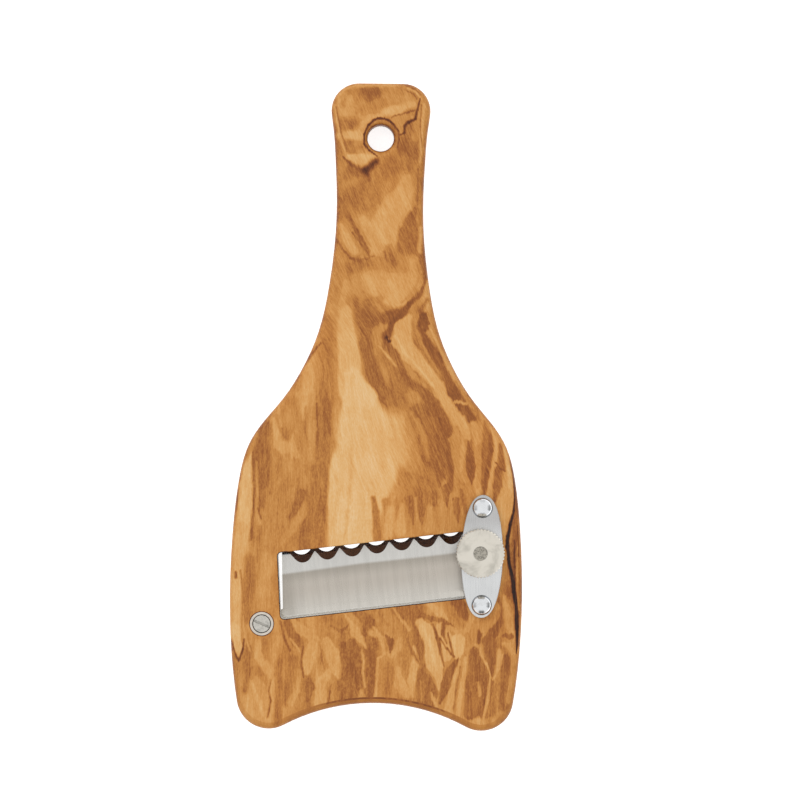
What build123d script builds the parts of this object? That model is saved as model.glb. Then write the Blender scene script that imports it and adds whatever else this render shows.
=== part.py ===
"""Truffle slicer: an olive wood paddle with a scalloped blade in a pocket behind its window.

Millimetres. The slicer lies on its back: +X to the right, +Y towards the end of the handle and +Z out of the
front. The origin is in the middle of the board's length and width, on its back face.
"""
from build123d import *
from math import atan2, ceil, cos, degrees, floor, hypot, pi, radians, sin, sqrt, tan
import os

# General
overrun = 1.0  # how far a cut runs past the face that it opens
press_gap = 0.02  # radial, a metal shank held in wood or metal
slide_gap = 0.05  # radial, a shaft that turns or slides in its hole
lay_gap = 0.05  # between flat faces that move on each other

# Board
board_length = 210.0
board_width = 95.0
board_thickness = 9.0
edge_round = 2.2
handle_width = 28.1  # at its narrowest
head_width = 32.2  # at the end of the handle
head_round = 8.9
head_lean = 8.5  # degrees, how far the handle's side still spreads where the end's round begins
foot_round = 10.5
foot_inset = 13.0  # from the widest part of the side to the middle of the foot's round
foot_lean = 9.5  # degrees, how far the side leans where the foot's round ends
arch_round = 62.5  # the hollow between the feet
# The side's points, from the foot to the handle. The first share is of half the board's width, or of half the
# handle's narrowest width, and the second is of the board's length, from its middle.
body_side_shares = (
    (0.980, -0.3945),
    (1.000, -0.2945),
    (0.983, -0.1900),
    (0.941, -0.1088),
    (0.882, -0.0611),
    (0.791, -0.0278),
    (0.652, 0.0103),
)
handle_side_shares = (
    (1.755, 0.0579),
    (1.392, 0.1150),
    (1.147, 0.1912),
    (1.000, 0.3150),
    (1.046, 0.3912),
)

# Hanging hole
hang_diameter = 8.6
hang_mouth_round = 1.7
hang_inset = 17.8  # from the end of the handle

# Places of the pivot and of the adjusting screw
pivot_inset = 10.54  # from the widest part of the left side
pivot_rise = 34.2  # above the feet
screw_inset = 13.85  # from the widest part of the right side
screw_rise = 23.76  # above the pivot

# Blade
blade_tilt = 7.6  # degrees
blade_thickness = 1.5
blade_recess = 0.3  # how far its back lies inside the board's back face
edge_reach = 1.0  # of the cutting edge, past the window's upper left corner
blade_end_margin = 5.3  # past the adjusting screw
blade_end_lean = 6.0  # degrees, of the left end
blade_corner = 3.0
ear_width = 8.5
ear_length = 7.11  # from the pivot to the blade's left end
shoulder_rise = 3.4  # where the left end meets the ear
ear_corner = 0.5
bevel_run = 2.2
facet_run = 6.0
facet_drop = 0.4
facet_margin = 4.25  # the ground edge stops this far before the adjusting screw
scallop_pitch = 8.16
scallop_round = 3.4
scallop_flank = 50.0  # degrees
tip_land = 0.3
edge_land = 2.4  # straight edge left of the first scallop

# Window and blade pocket
window_step_x = 6.16  # from the pivot to the window's lower left corner
window_step_y = 1.46
window_tilt = 7.15  # degrees
window_height = 21.55
window_lean = 3.2  # degrees, of the left wall
window_end_margin = 5.15  # past the adjusting screw
window_corner = 1.2
window_rim_round = 0.4
pocket_headroom = 0.2  # over the blade
pocket_gap = 1.5  # around the blade
throat_depth = 5.0  # the slope that lets the slice pass the window's upper wall
pocket_rim_chamfer = 0.25

# Pivot: a slotted screw in a flush ferrule, and a barrel nut from behind
pivot_slot_turn = -22.0  # degrees
ferrule_diameter = 7.6
ferrule_length = 3.2
ferrule_floor = 0.9
ferrule_cup_diameter = 6.1
pivot_screw_diameter = 3.0
pivot_head_diameter = 5.5
pivot_head_height = 2.2
pivot_slot_width = 0.8
pivot_slot_depth = 0.8
pivot_screw_length = 4.2
barrel_diameter = 4.2
barrel_head_diameter = 6.4
barrel_top_gap = 0.3  # below the ferrule
barrel_floor = 1.3
barrel_slot_width = 0.8
barrel_slot_depth = 0.6
rock_gap = 0.2  # radial, for a countersunk head that the blade rocks on

# Bracket
bracket_length = 40.0
bracket_width = 13.5
bracket_thickness = 1.5
bracket_rim_round = 0.35
bracket_step_x = 0.62  # from the adjusting screw to the bracket's middle
bracket_step_y = -1.15
bracket_lean = -0.6  # degrees
bracket_growth = 1.8  # outwards from an ellipse, which blunts its ends
bracket_points = 24  # on the outline
bracket_hole_gap = 0.25  # radial, around the adjusting screw
drive_spacing = 31.5
drive_head_diameter = 6.6
drive_head_height = 1.9
drive_shank_diameter = 3.2
drive_shank_length = 7.4
drive_point = 0.8

# Adjusting screw and thumb nut
screw_diameter = 4.5  # midway between the thread's root and crest
screw_pitch = 0.8
screw_head_diameter = 7.0
screw_slot_width = 1.0
screw_slot_depth = 0.7
washer_diameter = 9.0
washer_thickness = 0.5
nut_diameter = 15.7
nut_height = 4.0
nut_rim_chamfer = 0.3
nut_ring_diameter = 9.4  # a fine turned step in its top face
nut_ring_step = 0.12
knurl_pitch = 1.14
knurl_depth = 0.38

# Spring around the adjusting screw
spring_wire = 0.8
spring_diameter = 5.9  # to the middle of the wire
spring_turns = 4.5
steps_per_turn = 4  # each step of the wire's path is two arcs

# Worked out from the sizes above
half_width = board_width / 2
half_length = board_length / 2
front = board_thickness
pivot_x = pivot_inset - half_width
pivot_y = pivot_rise - half_length
screw_x = half_width - screw_inset
screw_y = pivot_y + screw_rise
tilt = radians(blade_tilt)
screw_u = (screw_x - pivot_x) * cos(tilt) + screw_rise * sin(tilt)
screw_v = screw_rise * cos(tilt) - (screw_x - pivot_x) * sin(tilt)
window_left = pivot_x + window_step_x
window_right = screw_x + window_end_margin
window_slope = tan(radians(window_tilt))
window_bottom = pivot_y + window_step_y
window_top = window_bottom + window_height
window_top_left = window_left - window_height * tan(radians(window_lean))
throat_v = (window_top - pivot_y) * cos(tilt) - (window_top_left - pivot_x) * sin(tilt)
blade_rise = throat_v + edge_reach
pocket_depth = blade_recess + blade_thickness + pocket_headroom
bracket_top = front + bracket_thickness
washer_top = bracket_top + washer_thickness
nut_top = washer_top + lay_gap + nut_height

# The blade's own plane lies on its back face, at the pivot, with X along the cutting edge
blade_plane = Plane(origin=(pivot_x, pivot_y, blade_recess)).rotated((0, 0, blade_tilt))
edge_plane = Plane(blade_plane.origin, x_dir=blade_plane.y_dir, z_dir=blade_plane.x_dir)

# Blade outline: a plate with an ear to the left, round about the pivot
ear_half = ear_width / 2
blade_end = screw_u + blade_end_margin
blade_start = ear_length + (blade_rise - shoulder_rise) * tan(radians(blade_end_lean))
with BuildSketch(blade_plane) as blade_outline:
    with BuildLine():
        CenterArc((0, 0), ear_half, 90, 180)
        Polyline(
            (0, -ear_half),
            (blade_end, -ear_half),
            (blade_end, blade_rise),
            (blade_start, blade_rise),
            (ear_length, shoulder_rise),
            (0, ear_half),
        )
    make_face()
    fillet(blade_outline.vertices().group_by(Axis.X)[-1], radius=blade_corner)
    fillet(blade_outline.vertices().sort_by_distance((ear_length, shoulder_rise))[0], radius=ear_corner)

# Board
foot_x = half_width - foot_inset
foot_y = foot_round - half_length
arch_reach = arch_round + foot_round
arch_y = foot_y - sqrt(arch_reach**2 - foot_x**2)
arch_turn = degrees(atan2(foot_y - arch_y, foot_x))
head_x = head_width / 2 - head_round
head_y = half_length - head_round
with BuildPart() as board:
    with BuildSketch():
        with BuildLine():
            hollow = CenterArc((0, arch_y), arch_round, 90, arch_turn - 90)
            foot = CenterArc((foot_x, foot_y), foot_round, arch_turn - 180, 180 - arch_turn - foot_lean)
            head = CenterArc((head_x, head_y), head_round, -head_lean, 90 + head_lean)
            body_points = [(x * half_width, y * board_length) for x, y in body_side_shares]
            handle_points = [(x * handle_width / 2, y * board_length) for x, y in handle_side_shares]
            Spline(
                foot @ 1,
                *body_points,
                *handle_points,
                head @ 0,
                tangents=(foot % 1, head % 0),
            )
            Line(head @ 1, (0, half_length))
            mirror(about=Plane.YZ)
        make_face()
    extrude(amount=board_thickness)
    fillet(board.edges().group_by(Axis.Z)[0] + board.edges().group_by(Axis.Z)[-1], radius=edge_round)

    # Hanging hole
    hang_y = half_length - hang_inset
    with Locations((0, hang_y, front)):
        Hole(radius=hang_diameter / 2)
    hang_wall = board.faces().filter_by(GeomType.CYLINDER).sort_by_distance((0, hang_y, front / 2))[0]
    fillet(hang_wall.edges().filter_by(GeomType.CIRCLE), radius=hang_mouth_round)

    # Window
    with BuildSketch():
        with BuildLine():
            Polyline(
                (window_left, window_bottom),
                (window_right, window_bottom + (window_right - window_left) * window_slope),
                (window_right, window_top + (window_right - window_top_left) * window_slope),
                (window_top_left, window_top),
                close=True,
            )
        make_face()
        window_sketch = fillet(vertices(), radius=window_corner)
    extrude(amount=board_thickness, mode=Mode.SUBTRACT)
    window_rim = board.faces().sort_by(Axis.Z)[-1].inner_wires().sort_by_distance((0, window_top, front))[0]
    fillet(window_rim.edges(), radius=window_rim_round)

    # Pocket for the blade, milled from the back
    with BuildSketch(blade_plane.offset(-blade_recess)):
        offset(blade_outline.sketch_local, amount=pocket_gap)
    extrude(amount=pocket_depth, mode=Mode.SUBTRACT)

    # Throat: the window's upper wall slopes back behind the edge
    with BuildSketch(edge_plane.offset(blade_start - pocket_gap)):
        with BuildLine():
            Polyline(
                (throat_v, throat_depth - blade_recess),
                (throat_v + throat_depth + overrun, -blade_recess - overrun),
                (throat_v, -blade_recess - overrun),
                close=True,
            )
        make_face()
    extrude(amount=blade_end - blade_start + 2 * pocket_gap, mode=Mode.SUBTRACT)
    pocket_rim = board.faces().sort_by(Axis.Z)[0].inner_wires().sort_by_distance((0, window_bottom, 0))[0]
    chamfer(pocket_rim.edges(), length=pocket_rim_chamfer)

    # Holes for the ferrule, the barrel nut and the bracket's drive screws
    with Locations((pivot_x, pivot_y, front)):
        CounterBoreHole(
            radius=barrel_diameter / 2 + press_gap,
            counter_bore_radius=ferrule_diameter / 2 + press_gap,
            counter_bore_depth=ferrule_length,
        )
    bracket_x = screw_x + bracket_step_x
    bracket_y = screw_y + bracket_step_y
    drive_places = [
        (bracket_x, bracket_y + drive_spacing / 2),
        (bracket_x, bracket_y - drive_spacing / 2),
    ]
    drive_tip = bracket_top - drive_shank_length
    with BuildSketch(Plane.XY.offset(front)):
        with Locations(*drive_places):
            Circle(radius=drive_shank_diameter / 2 + press_gap)
    extrude(amount=drive_tip - press_gap - front, mode=Mode.SUBTRACT)

# Blade
bevel_rise = blade_thickness - facet_drop
bevel_slope = atan2(bevel_rise, bevel_run)
edge_end = screw_u - facet_margin
half_open = (scallop_pitch - tip_land) / 2
round_x = scallop_round * sin(radians(scallop_flank))
round_drop = scallop_round * cos(radians(scallop_flank))
scallop_depth = (half_open - round_x) * tan(radians(scallop_flank)) + scallop_round - round_drop
first_scallop = blade_start + edge_land + scallop_pitch / 2
scallop_count = floor((edge_end - first_scallop + scallop_pitch / 2) / scallop_pitch)
with BuildPart() as blade:
    extrude(blade_outline.sketch, amount=blade_thickness)

    # Ground facet and bevel, which stop before the bracket
    with BuildSketch(edge_plane.offset(-overrun)):
        with BuildLine():
            Polyline(
                (blade_rise - bevel_run - facet_run, blade_thickness),
                (blade_rise - bevel_run, bevel_rise),
                (blade_rise, 0),
                (blade_rise + bevel_run, -bevel_rise),
                (blade_rise + bevel_run, blade_thickness),
                close=True,
            )
        make_face()
    extrude(amount=edge_end + overrun, mode=Mode.SUBTRACT)

    # Scallops, cut on the slope of the bevel
    with BuildSketch(blade_plane) as scallops:
        with Locations(*[(first_scallop + i * scallop_pitch, blade_rise) for i in range(scallop_count)]):
            with BuildSketch(mode=Mode.PRIVATE) as scallop:
                with BuildLine():
                    flank_left = Line((-half_open, 0), (-round_x, scallop_round - round_drop - scallop_depth))
                    flank_right = Line((round_x, scallop_round - round_drop - scallop_depth), (half_open, 0))
                    ThreePointArc(flank_left @ 1, (0, -scallop_depth), flank_right @ 0)
                    Polyline(flank_right @ 1, (half_open, overrun), (-half_open, overrun), flank_left @ 0)
                make_face()
            add(scallop.sketch_local)
    extrude(
        scallops.sketch,
        amount=(blade_thickness + overrun) / sin(bevel_slope),
        dir=blade_plane.z_dir * sin(bevel_slope) - blade_plane.y_dir * cos(bevel_slope),
        both=True,
        mode=Mode.SUBTRACT,
    )

    # Countersunk holes for the barrel nut and the adjusting screw, from the back
    for place, head_radius, shank_radius in (
        ((0, 0), barrel_head_diameter / 2, barrel_diameter / 2),
        ((screw_u, screw_v), screw_head_diameter / 2, screw_diameter / 2),
    ):
        with BuildSketch(blade_plane):
            with Locations(place):
                Circle(radius=head_radius + rock_gap)
        extrude(amount=head_radius - shank_radius, taper=45, mode=Mode.SUBTRACT)
        with BuildSketch(blade_plane):
            with Locations(place):
                Circle(radius=shank_radius + rock_gap)
        extrude(amount=blade_thickness, mode=Mode.SUBTRACT)

# Barrel nut: a countersunk head flush with the blade's back, and a barrel in the wood
pivot_floor = front - ferrule_length
barrel_top = pivot_floor - barrel_top_gap
head_cone = (barrel_head_diameter - barrel_diameter) / 2
with BuildPart() as pivot_barrel_nut:
    with BuildSketch(Plane(origin=(pivot_x, pivot_y, blade_recess), x_dir=(1, 0, 0), z_dir=(0, -1, 0))):
        with BuildLine():
            Polyline(
                (0, 0),
                (barrel_head_diameter / 2, 0),
                (barrel_diameter / 2, head_cone),
                (barrel_diameter / 2, barrel_top - blade_recess),
                (pivot_screw_diameter / 2 + slide_gap, barrel_top - blade_recess),
                (pivot_screw_diameter / 2 + slide_gap, barrel_floor),
                (0, barrel_floor),
                close=True,
            )
        make_face()
    revolve(axis=Axis((pivot_x, pivot_y, 0), (0, 0, 1)))
    with BuildSketch(Plane(origin=(pivot_x, pivot_y, blade_recess))):
        Rectangle(barrel_head_diameter + overrun, barrel_slot_width)
    extrude(amount=barrel_slot_depth, mode=Mode.SUBTRACT)

# Ferrule: a cup pressed flush into the front of the board
with BuildPart() as pivot_ferrule:
    with BuildSketch(Plane(origin=(pivot_x, pivot_y, pivot_floor))):
        Circle(radius=ferrule_diameter / 2)
    extrude(amount=ferrule_length)
    with Locations((pivot_x, pivot_y, front)):
        CounterBoreHole(
            radius=pivot_screw_diameter / 2 + slide_gap,
            counter_bore_radius=ferrule_cup_diameter / 2,
            counter_bore_depth=ferrule_length - ferrule_floor,
        )

# Pivot screw: slotted cheese head
cup_floor = pivot_floor + ferrule_floor
with BuildPart() as pivot_screw:
    with BuildSketch(Plane(origin=(pivot_x, pivot_y, cup_floor))):
        Circle(radius=pivot_head_diameter / 2)
    extrude(amount=pivot_head_height)
    with BuildSketch(Plane(origin=(pivot_x, pivot_y, cup_floor))):
        Circle(radius=pivot_screw_diameter / 2)
    extrude(amount=-pivot_screw_length)
    with BuildSketch(
        Plane(origin=(pivot_x, pivot_y, cup_floor + pivot_head_height)).rotated((0, 0, pivot_slot_turn))
    ):
        Rectangle(pivot_head_diameter + overrun, pivot_slot_width)
    extrude(amount=-pivot_slot_depth, mode=Mode.SUBTRACT)

# Bracket plate: a blunt oval across the window's right end
ellipse_x = bracket_width / 2 - bracket_growth
ellipse_y = bracket_length / 2 - bracket_growth
oval_points = []
for point in range(bracket_points):
    turn = 2 * pi * point / bracket_points
    growth_share = bracket_growth / hypot(ellipse_y * cos(turn), ellipse_x * sin(turn))
    oval_x = (ellipse_x + growth_share * ellipse_y) * cos(turn)
    oval_y = (ellipse_y + growth_share * ellipse_x) * sin(turn)
    oval_points.append((oval_x, oval_y))
with BuildPart() as bracket_plate:
    with BuildSketch(Plane(origin=(bracket_x, bracket_y, front)).rotated((0, 0, bracket_lean))):
        with BuildLine():
            Spline(*oval_points, periodic=True)
        make_face()
    extrude(amount=bracket_thickness)
    fillet(bracket_plate.edges().group_by(Axis.Z)[-1], radius=bracket_rim_round)
    with BuildSketch(Plane.XY.offset(front)):
        with Locations((screw_x, screw_y)):
            Circle(radius=screw_diameter / 2 + bracket_hole_gap)
        with Locations(*drive_places):
            Circle(radius=drive_shank_diameter / 2 + slide_gap)
    extrude(amount=bracket_thickness, mode=Mode.SUBTRACT)

# Drive screws: smooth domes with plain shanks, hammered into the wood
drive_radius = drive_head_diameter / 2
drive_parts = []
for drive_x, drive_y in drive_places:
    with BuildPart() as drive_screw:
        with BuildSketch(Plane(origin=(drive_x, drive_y, bracket_top), x_dir=(1, 0, 0), z_dir=(0, -1, 0))):
            with BuildLine():
                dome = RadiusArc(
                    (drive_radius, 0),
                    (0, drive_head_height),
                    -(drive_radius**2 + drive_head_height**2) / (2 * drive_head_height),
                )
                Polyline(
                    dome @ 1,
                    (0, -drive_shank_length),
                    (drive_shank_diameter / 2 - drive_point, -drive_shank_length),
                    (drive_shank_diameter / 2, drive_point - drive_shank_length),
                    (drive_shank_diameter / 2, 0),
                    dome @ 0,
                )
            make_face()
        revolve(axis=Axis((drive_x, drive_y, 0), (0, 0, 1)))
    drive_parts.append(drive_screw.part)

# Adjusting screw: its countersunk head lies flush in the blade's back, its sawn end flush in the nut
screw_radius = screw_diameter / 2
screw_length = nut_top - blade_recess
with BuildPart() as adjusting_screw:
    with BuildSketch(Plane(origin=(screw_x, screw_y, blade_recess), x_dir=(1, 0, 0), z_dir=(0, -1, 0))):
        with BuildLine():
            Polyline(
                (0, 0),
                (screw_head_diameter / 2, 0),
                (screw_radius, screw_head_diameter / 2 - screw_radius),
                (screw_radius, screw_length),
                (0, screw_length),
                close=True,
            )
        make_face()
    revolve(axis=Axis((screw_x, screw_y, 0), (0, 0, 1)))
    with BuildSketch(Plane(origin=(screw_x, screw_y, blade_recess))):
        Rectangle(screw_head_diameter + overrun, screw_slot_width)
    extrude(amount=screw_slot_depth, mode=Mode.SUBTRACT)

# Washer under the nut
with BuildPart() as nut_washer:
    with BuildSketch(Plane(origin=(screw_x, screw_y, bracket_top))):
        Circle(radius=washer_diameter / 2)
        Circle(radius=screw_radius + bracket_hole_gap, mode=Mode.SUBTRACT)
    extrude(amount=washer_thickness)

# Thumb nut: a flat round nut with a straight knurl
nut_radius = nut_diameter / 2
knurl_count = floor(pi * nut_diameter / knurl_pitch)
with BuildPart() as thumb_nut:
    with BuildSketch(Plane(origin=(screw_x, screw_y, washer_top + lay_gap))):
        Circle(radius=nut_radius)
    extrude(amount=nut_height)
    nut_rims = thumb_nut.edges().group_by(Axis.Z)[0] + thumb_nut.edges().group_by(Axis.Z)[-1]
    chamfer(nut_rims, length=nut_rim_chamfer)
    with BuildSketch(Plane(origin=(screw_x, screw_y, nut_top))):
        Circle(radius=nut_ring_diameter / 2)
    extrude(amount=-nut_ring_step, mode=Mode.SUBTRACT)
    with BuildSketch(Plane(origin=(screw_x, screw_y, washer_top + lay_gap))):
        with PolarLocations(nut_radius, knurl_count):
            Rectangle(knurl_depth * sqrt(2), knurl_depth * sqrt(2), rotation=45)
    extrude(amount=nut_height, mode=Mode.SUBTRACT)
    with Locations((screw_x, screw_y, nut_top)):
        Hole(radius=screw_radius + slide_gap)

# Spring: one open coil from the blade to the bracket, its path in arcs of less than a quarter turn
spring_radius = spring_diameter / 2
spring_low = blade_recess + blade_thickness + spring_wire / 2 + lay_gap
spring_high = front - spring_wire / 2 - lay_gap
spring_steps = ceil(spring_turns * steps_per_turn)
step_turn = 2 * pi * spring_turns / spring_steps
step_rise = (spring_high - spring_low) / spring_steps
climb = step_rise / step_turn


def coil_point(step):
    """The middle of the wire, this many steps up the coil."""
    turn = step * step_turn
    across = Vector(spring_radius * cos(turn), spring_radius * sin(turn), step * step_rise)
    return across + Vector(screw_x, screw_y, spring_low)


def coil_direction(step):
    """The direction of the wire there."""
    turn = step * step_turn
    return Vector(-spring_radius * sin(turn), spring_radius * cos(turn), climb).normalized()


with BuildPart() as blade_spring:
    with BuildLine() as coil:
        for step in range(spring_steps):
            start = coil_point(step)
            end = coil_point(step + 1)
            leave = coil_direction(step)
            arrive = coil_direction(step + 1)
            # The two arcs meet halfway between two corners that lie at equal reaches along the end tangents
            chord = end - start
            tangents = leave + arrive
            along = chord.dot(tangents)
            bend = 4 - tangents.dot(tangents)
            reach = (sqrt(along**2 + bend * chord.dot(chord)) - along) / bend
            join = (start + end + (leave - arrive) * reach) / 2
            TangentArc(start, join, tangent=leave)
            TangentArc(join, end, tangent=chord - tangents * reach)
    with BuildSketch(Plane(origin=coil_point(0), z_dir=coil_direction(0))):
        Circle(radius=spring_wire / 2)
    sweep(path=coil.wire())

# The least gap between two turns, measured on points along the wire
points_per_turn = 48
point_count = floor(spring_turns * points_per_turn) + 1
coil_points = [coil_point(i * steps_per_turn / points_per_turn) for i in range(point_count)]
turn_gap = min(
    (near - far).length - spring_wire
    for i, near in enumerate(coil_points)
    for far in coil_points[i + points_per_turn // 2 :]
)
print(f"spring: least gap between turns {turn_gap:.2f} mm")

# One file for each piece
os.makedirs("parts", exist_ok=True)
for name, part in (
    ("board", board.part),
    ("blade", blade.part),
    ("pivot_barrel_nut", pivot_barrel_nut.part),
    ("pivot_ferrule", pivot_ferrule.part),
    ("pivot_screw", pivot_screw.part),
    ("bracket_plate", bracket_plate.part),
    ("bracket_screw_upper", drive_parts[0]),
    ("bracket_screw_lower", drive_parts[1]),
    ("adjusting_screw", adjusting_screw.part),
    ("nut_washer", nut_washer.part),
    ("thumb_nut", thumb_nut.part),
    ("blade_spring", blade_spring.part),
):
    part.label = name
    export_step(part, f"parts/{name}.step")
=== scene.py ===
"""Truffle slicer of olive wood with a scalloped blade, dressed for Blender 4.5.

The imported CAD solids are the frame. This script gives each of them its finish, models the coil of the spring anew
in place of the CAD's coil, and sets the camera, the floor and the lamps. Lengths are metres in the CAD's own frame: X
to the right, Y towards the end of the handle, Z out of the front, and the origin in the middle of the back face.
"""
import logging
import math
from collections.abc import Sequence
from dataclasses import dataclass, fields
from enum import Enum

import bmesh
import bpy
from mathutils import Matrix, Vector


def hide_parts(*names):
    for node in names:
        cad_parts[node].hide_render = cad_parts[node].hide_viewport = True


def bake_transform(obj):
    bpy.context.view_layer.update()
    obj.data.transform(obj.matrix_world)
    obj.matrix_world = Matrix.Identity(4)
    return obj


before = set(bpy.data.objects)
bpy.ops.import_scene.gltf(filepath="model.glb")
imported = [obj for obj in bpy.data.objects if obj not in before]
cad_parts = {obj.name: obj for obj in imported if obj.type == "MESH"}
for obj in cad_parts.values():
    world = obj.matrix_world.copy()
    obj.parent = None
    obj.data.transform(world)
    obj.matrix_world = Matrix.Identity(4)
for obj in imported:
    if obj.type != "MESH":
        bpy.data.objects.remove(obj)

log = logging.getLogger("truffle_slicer")

MM = 0.001

Socket = bpy.types.NodeSocket
Colour = tuple[float, float, float]
Point = tuple[float, float, float]
Range = tuple[float, float]
Band = tuple[Range, Range]


class Slot(Enum):
    """Names a material slot of the record. Nothing in this script uses it."""

    SPRING_STEEL = "spring_steel"


class Body(Enum):
    """Names the bodies of the record. Nothing in this script uses it."""

    ROOT = "root"
    BLADE = "blade"


def linear(red: float, green: float, blue: float) -> Colour:
    """Turns a colour as a screen shows it, from 0 to 255, into the linear light that shaders take.

    Args:
        red: The red part.
        green: The green part.
        blue: The blue part.

    Returns:
        The three linear parts, from 0 to 1.
    """
    shares = [part / 255 for part in (red, green, blue)]
    return tuple(s / 12.92 if s <= 0.04045 else ((s + 0.055) / 1.055) ** 2.4 for s in shares)


WHITE: Colour = (1.0, 1.0, 1.0)


# Node trees


class NodeGraph:
    """A node tree that is built by small typed calls."""

    def __init__(self, tree: bpy.types.NodeTree) -> None:
        """Starts from a tree that already exists."""
        self.tree = tree

    def node(self, kind: str, **settings: object) -> bpy.types.Node:
        """Adds one node.

        Args:
            kind: The node's class name, without its ShaderNode part.
            **settings: Attributes to set on the node.

        Returns:
            The new node.
        """
        made = self.tree.nodes.new(f"ShaderNode{kind}")
        for name, value in settings.items():
            setattr(made, name, value)
        return made

    def feed(self, target: Socket, source: object) -> None:
        """Links a socket to an input, or writes a constant there.

        Args:
            target: The input socket.
            source: A socket, a number or a tuple.
        """
        if isinstance(source, bpy.types.NodeSocket):
            self.tree.links.new(source, target)
        elif isinstance(source, tuple) and len(source) == 3 and target.type == "RGBA":
            target.default_value = (*source, 1.0)
        else:
            target.default_value = source

    def fill(self, node: bpy.types.Node, sources: dict[str | int, object]) -> bpy.types.Node:
        """Feeds some of a node's inputs.

        Args:
            node: The node.
            sources: What each input takes, by the input's name or number.

        Returns:
            The node.
        """
        for key, source in sources.items():
            self.feed(node.inputs[key], source)
        return node

    def maths(self, operation: str, *terms: object, clamp: bool = False) -> Socket:
        """Adds a Math node.

        Args:
            operation: The node's operation.
            *terms: Its inputs, sockets or numbers.
            clamp: Keeps the result from 0 to 1.

        Returns:
            The result.
        """
        made = self.node("Math", operation=operation, use_clamp=clamp)
        return self.fill(made, dict(enumerate(terms))).outputs[0]

    def times(self, first: object, *others: object) -> Socket:
        """Multiplies numbers, one after another.

        Args:
            first: A socket, or a number where it is the only one.
            *others: Sockets or numbers.

        Returns:
            The product.
        """
        for other in others:
            first = self.maths("MULTIPLY", first, other)
        return first

    def vector(self, operation: str, *terms: object) -> Socket:
        """Adds a Vector Math node.

        Args:
            operation: The node's operation.
            *terms: Its inputs, sockets or tuples. The factor of SCALE is the second.

        Returns:
            The result, a number for a length, a distance or a dot product and otherwise a vector.
        """
        made = self.node("VectorMath", operation=operation)
        places = (0, "Scale") if operation == "SCALE" else (0, 1)
        self.fill(made, dict(zip(places, terms)))
        return made.outputs["Value" if operation in ("LENGTH", "DOT_PRODUCT", "DISTANCE") else "Vector"]

    def spread(self, value: Socket, low: object, high: object, to_low: object = 0.0, to_high: object = 1.0) -> Socket:
        """Adds a smooth Map Range node.

        Args:
            value: What is mapped.
            low: The value that gives to_low.
            high: The value that gives to_high.
            to_low: The result at low.
            to_high: The result at high.

        Returns:
            The mapped value.
        """
        made = self.node("MapRange", interpolation_type="SMOOTHSTEP")
        return self.fill(made, dict(enumerate((value, low, high, to_low, to_high)))).outputs[0]

    def within(self, value: Socket, band: Band) -> Socket:
        """Gives 1 inside a band and 0 outside it, with a soft side at each end."""
        return self.times(self.spread(value, *band[0]), self.spread(value, *band[1]))

    def noise(self, place: Socket, density: Point, detail: float, roughness: float = 0.5, twist: float = 0.0) -> Socket:
        """Adds a Noise node.

        Args:
            place: The coordinates.
            density: How many features there are in one unit of them, along X, Y and Z.
            detail: How many finer layers it has.
            roughness: How strong these are.
            twist: How much it is distorted.

        Returns:
            The noise, about 0.5.
        """
        made = self.node("TexNoise", noise_dimensions="3D")
        sources = {"Vector": self.vector("MULTIPLY", place, density), "Scale": 1.0, "Detail": detail}
        return self.fill(made, {**sources, "Roughness": roughness, "Distortion": twist}).outputs[0]

    def ramp(self, value: Socket, stops: Sequence[tuple[float, Colour]]) -> Socket:
        """Adds a Color Ramp node.

        Args:
            value: The place on the ramp.
            stops: The places of its colours.

        Returns:
            The colour.
        """
        made = self.node("ValToRGB")
        steps = made.color_ramp.elements
        while len(steps) < len(stops):
            steps.new(1.0)
        for step, (place, colour) in zip(steps, stops):
            step.position = place
            step.color = (*colour, 1.0)
        return self.fill(made, {0: value}).outputs[0]

    def blend(self, share: object, first: object, second: object, mode: str = "MIX") -> Socket:
        """Adds a Mix node for colours.

        Args:
            share: How much of the second colour there is.
            first: A colour or a socket.
            second: A colour or a socket.
            mode: How they are mixed.

        Returns:
            The mixed colour.
        """
        made = self.node("Mix", data_type="RGBA", blend_type=mode)
        return self.fill(made, {"Factor": share, 6: first, 7: second}).outputs[2]

    def tinted(self, colour: Socket, factor: Socket) -> Socket:
        """Multiplies all three parts of a colour by a factor."""
        return self.blend(1.0, colour, self.join(factor, factor, factor), "MULTIPLY")

    def between(self, share: object, first: object, second: object) -> Socket:
        """Adds a Mix node for numbers, with share of the second in it."""
        made = self.node("Mix", data_type="FLOAT")
        return self.fill(made, {"Factor": share, 2: first, 3: second}).outputs[0]

    def bump(self, height: Socket, depth: float, strength: float) -> Socket:
        """Adds a Bump node, which is depth metres high where height is 1."""
        return self.fill(self.node("Bump"), {"Strength": strength, "Distance": depth, "Height": height}).outputs[0]

    def millimetres(self) -> Socket:
        """Gives the object's own coordinates in millimetres."""
        return self.vector("SCALE", self.node("TexCoord").outputs["Object"], 1 / MM)

    def facing(self) -> tuple[Socket, Socket, Socket]:
        """Gives the three parts of the surface's normal."""
        return self.parts(self.node("TexCoord").outputs["Normal"])

    def parts(self, place: Socket) -> tuple[Socket, Socket, Socket]:
        """Splits a vector into its three parts."""
        return tuple(self.fill(self.node("SeparateXYZ"), {0: place}).outputs)

    def join(self, x: object, y: object, z: object = 0.0) -> Socket:
        """Joins three numbers into a vector."""
        return self.fill(self.node("CombineXYZ"), {0: x, 1: y, 2: z}).outputs[0]


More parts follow.
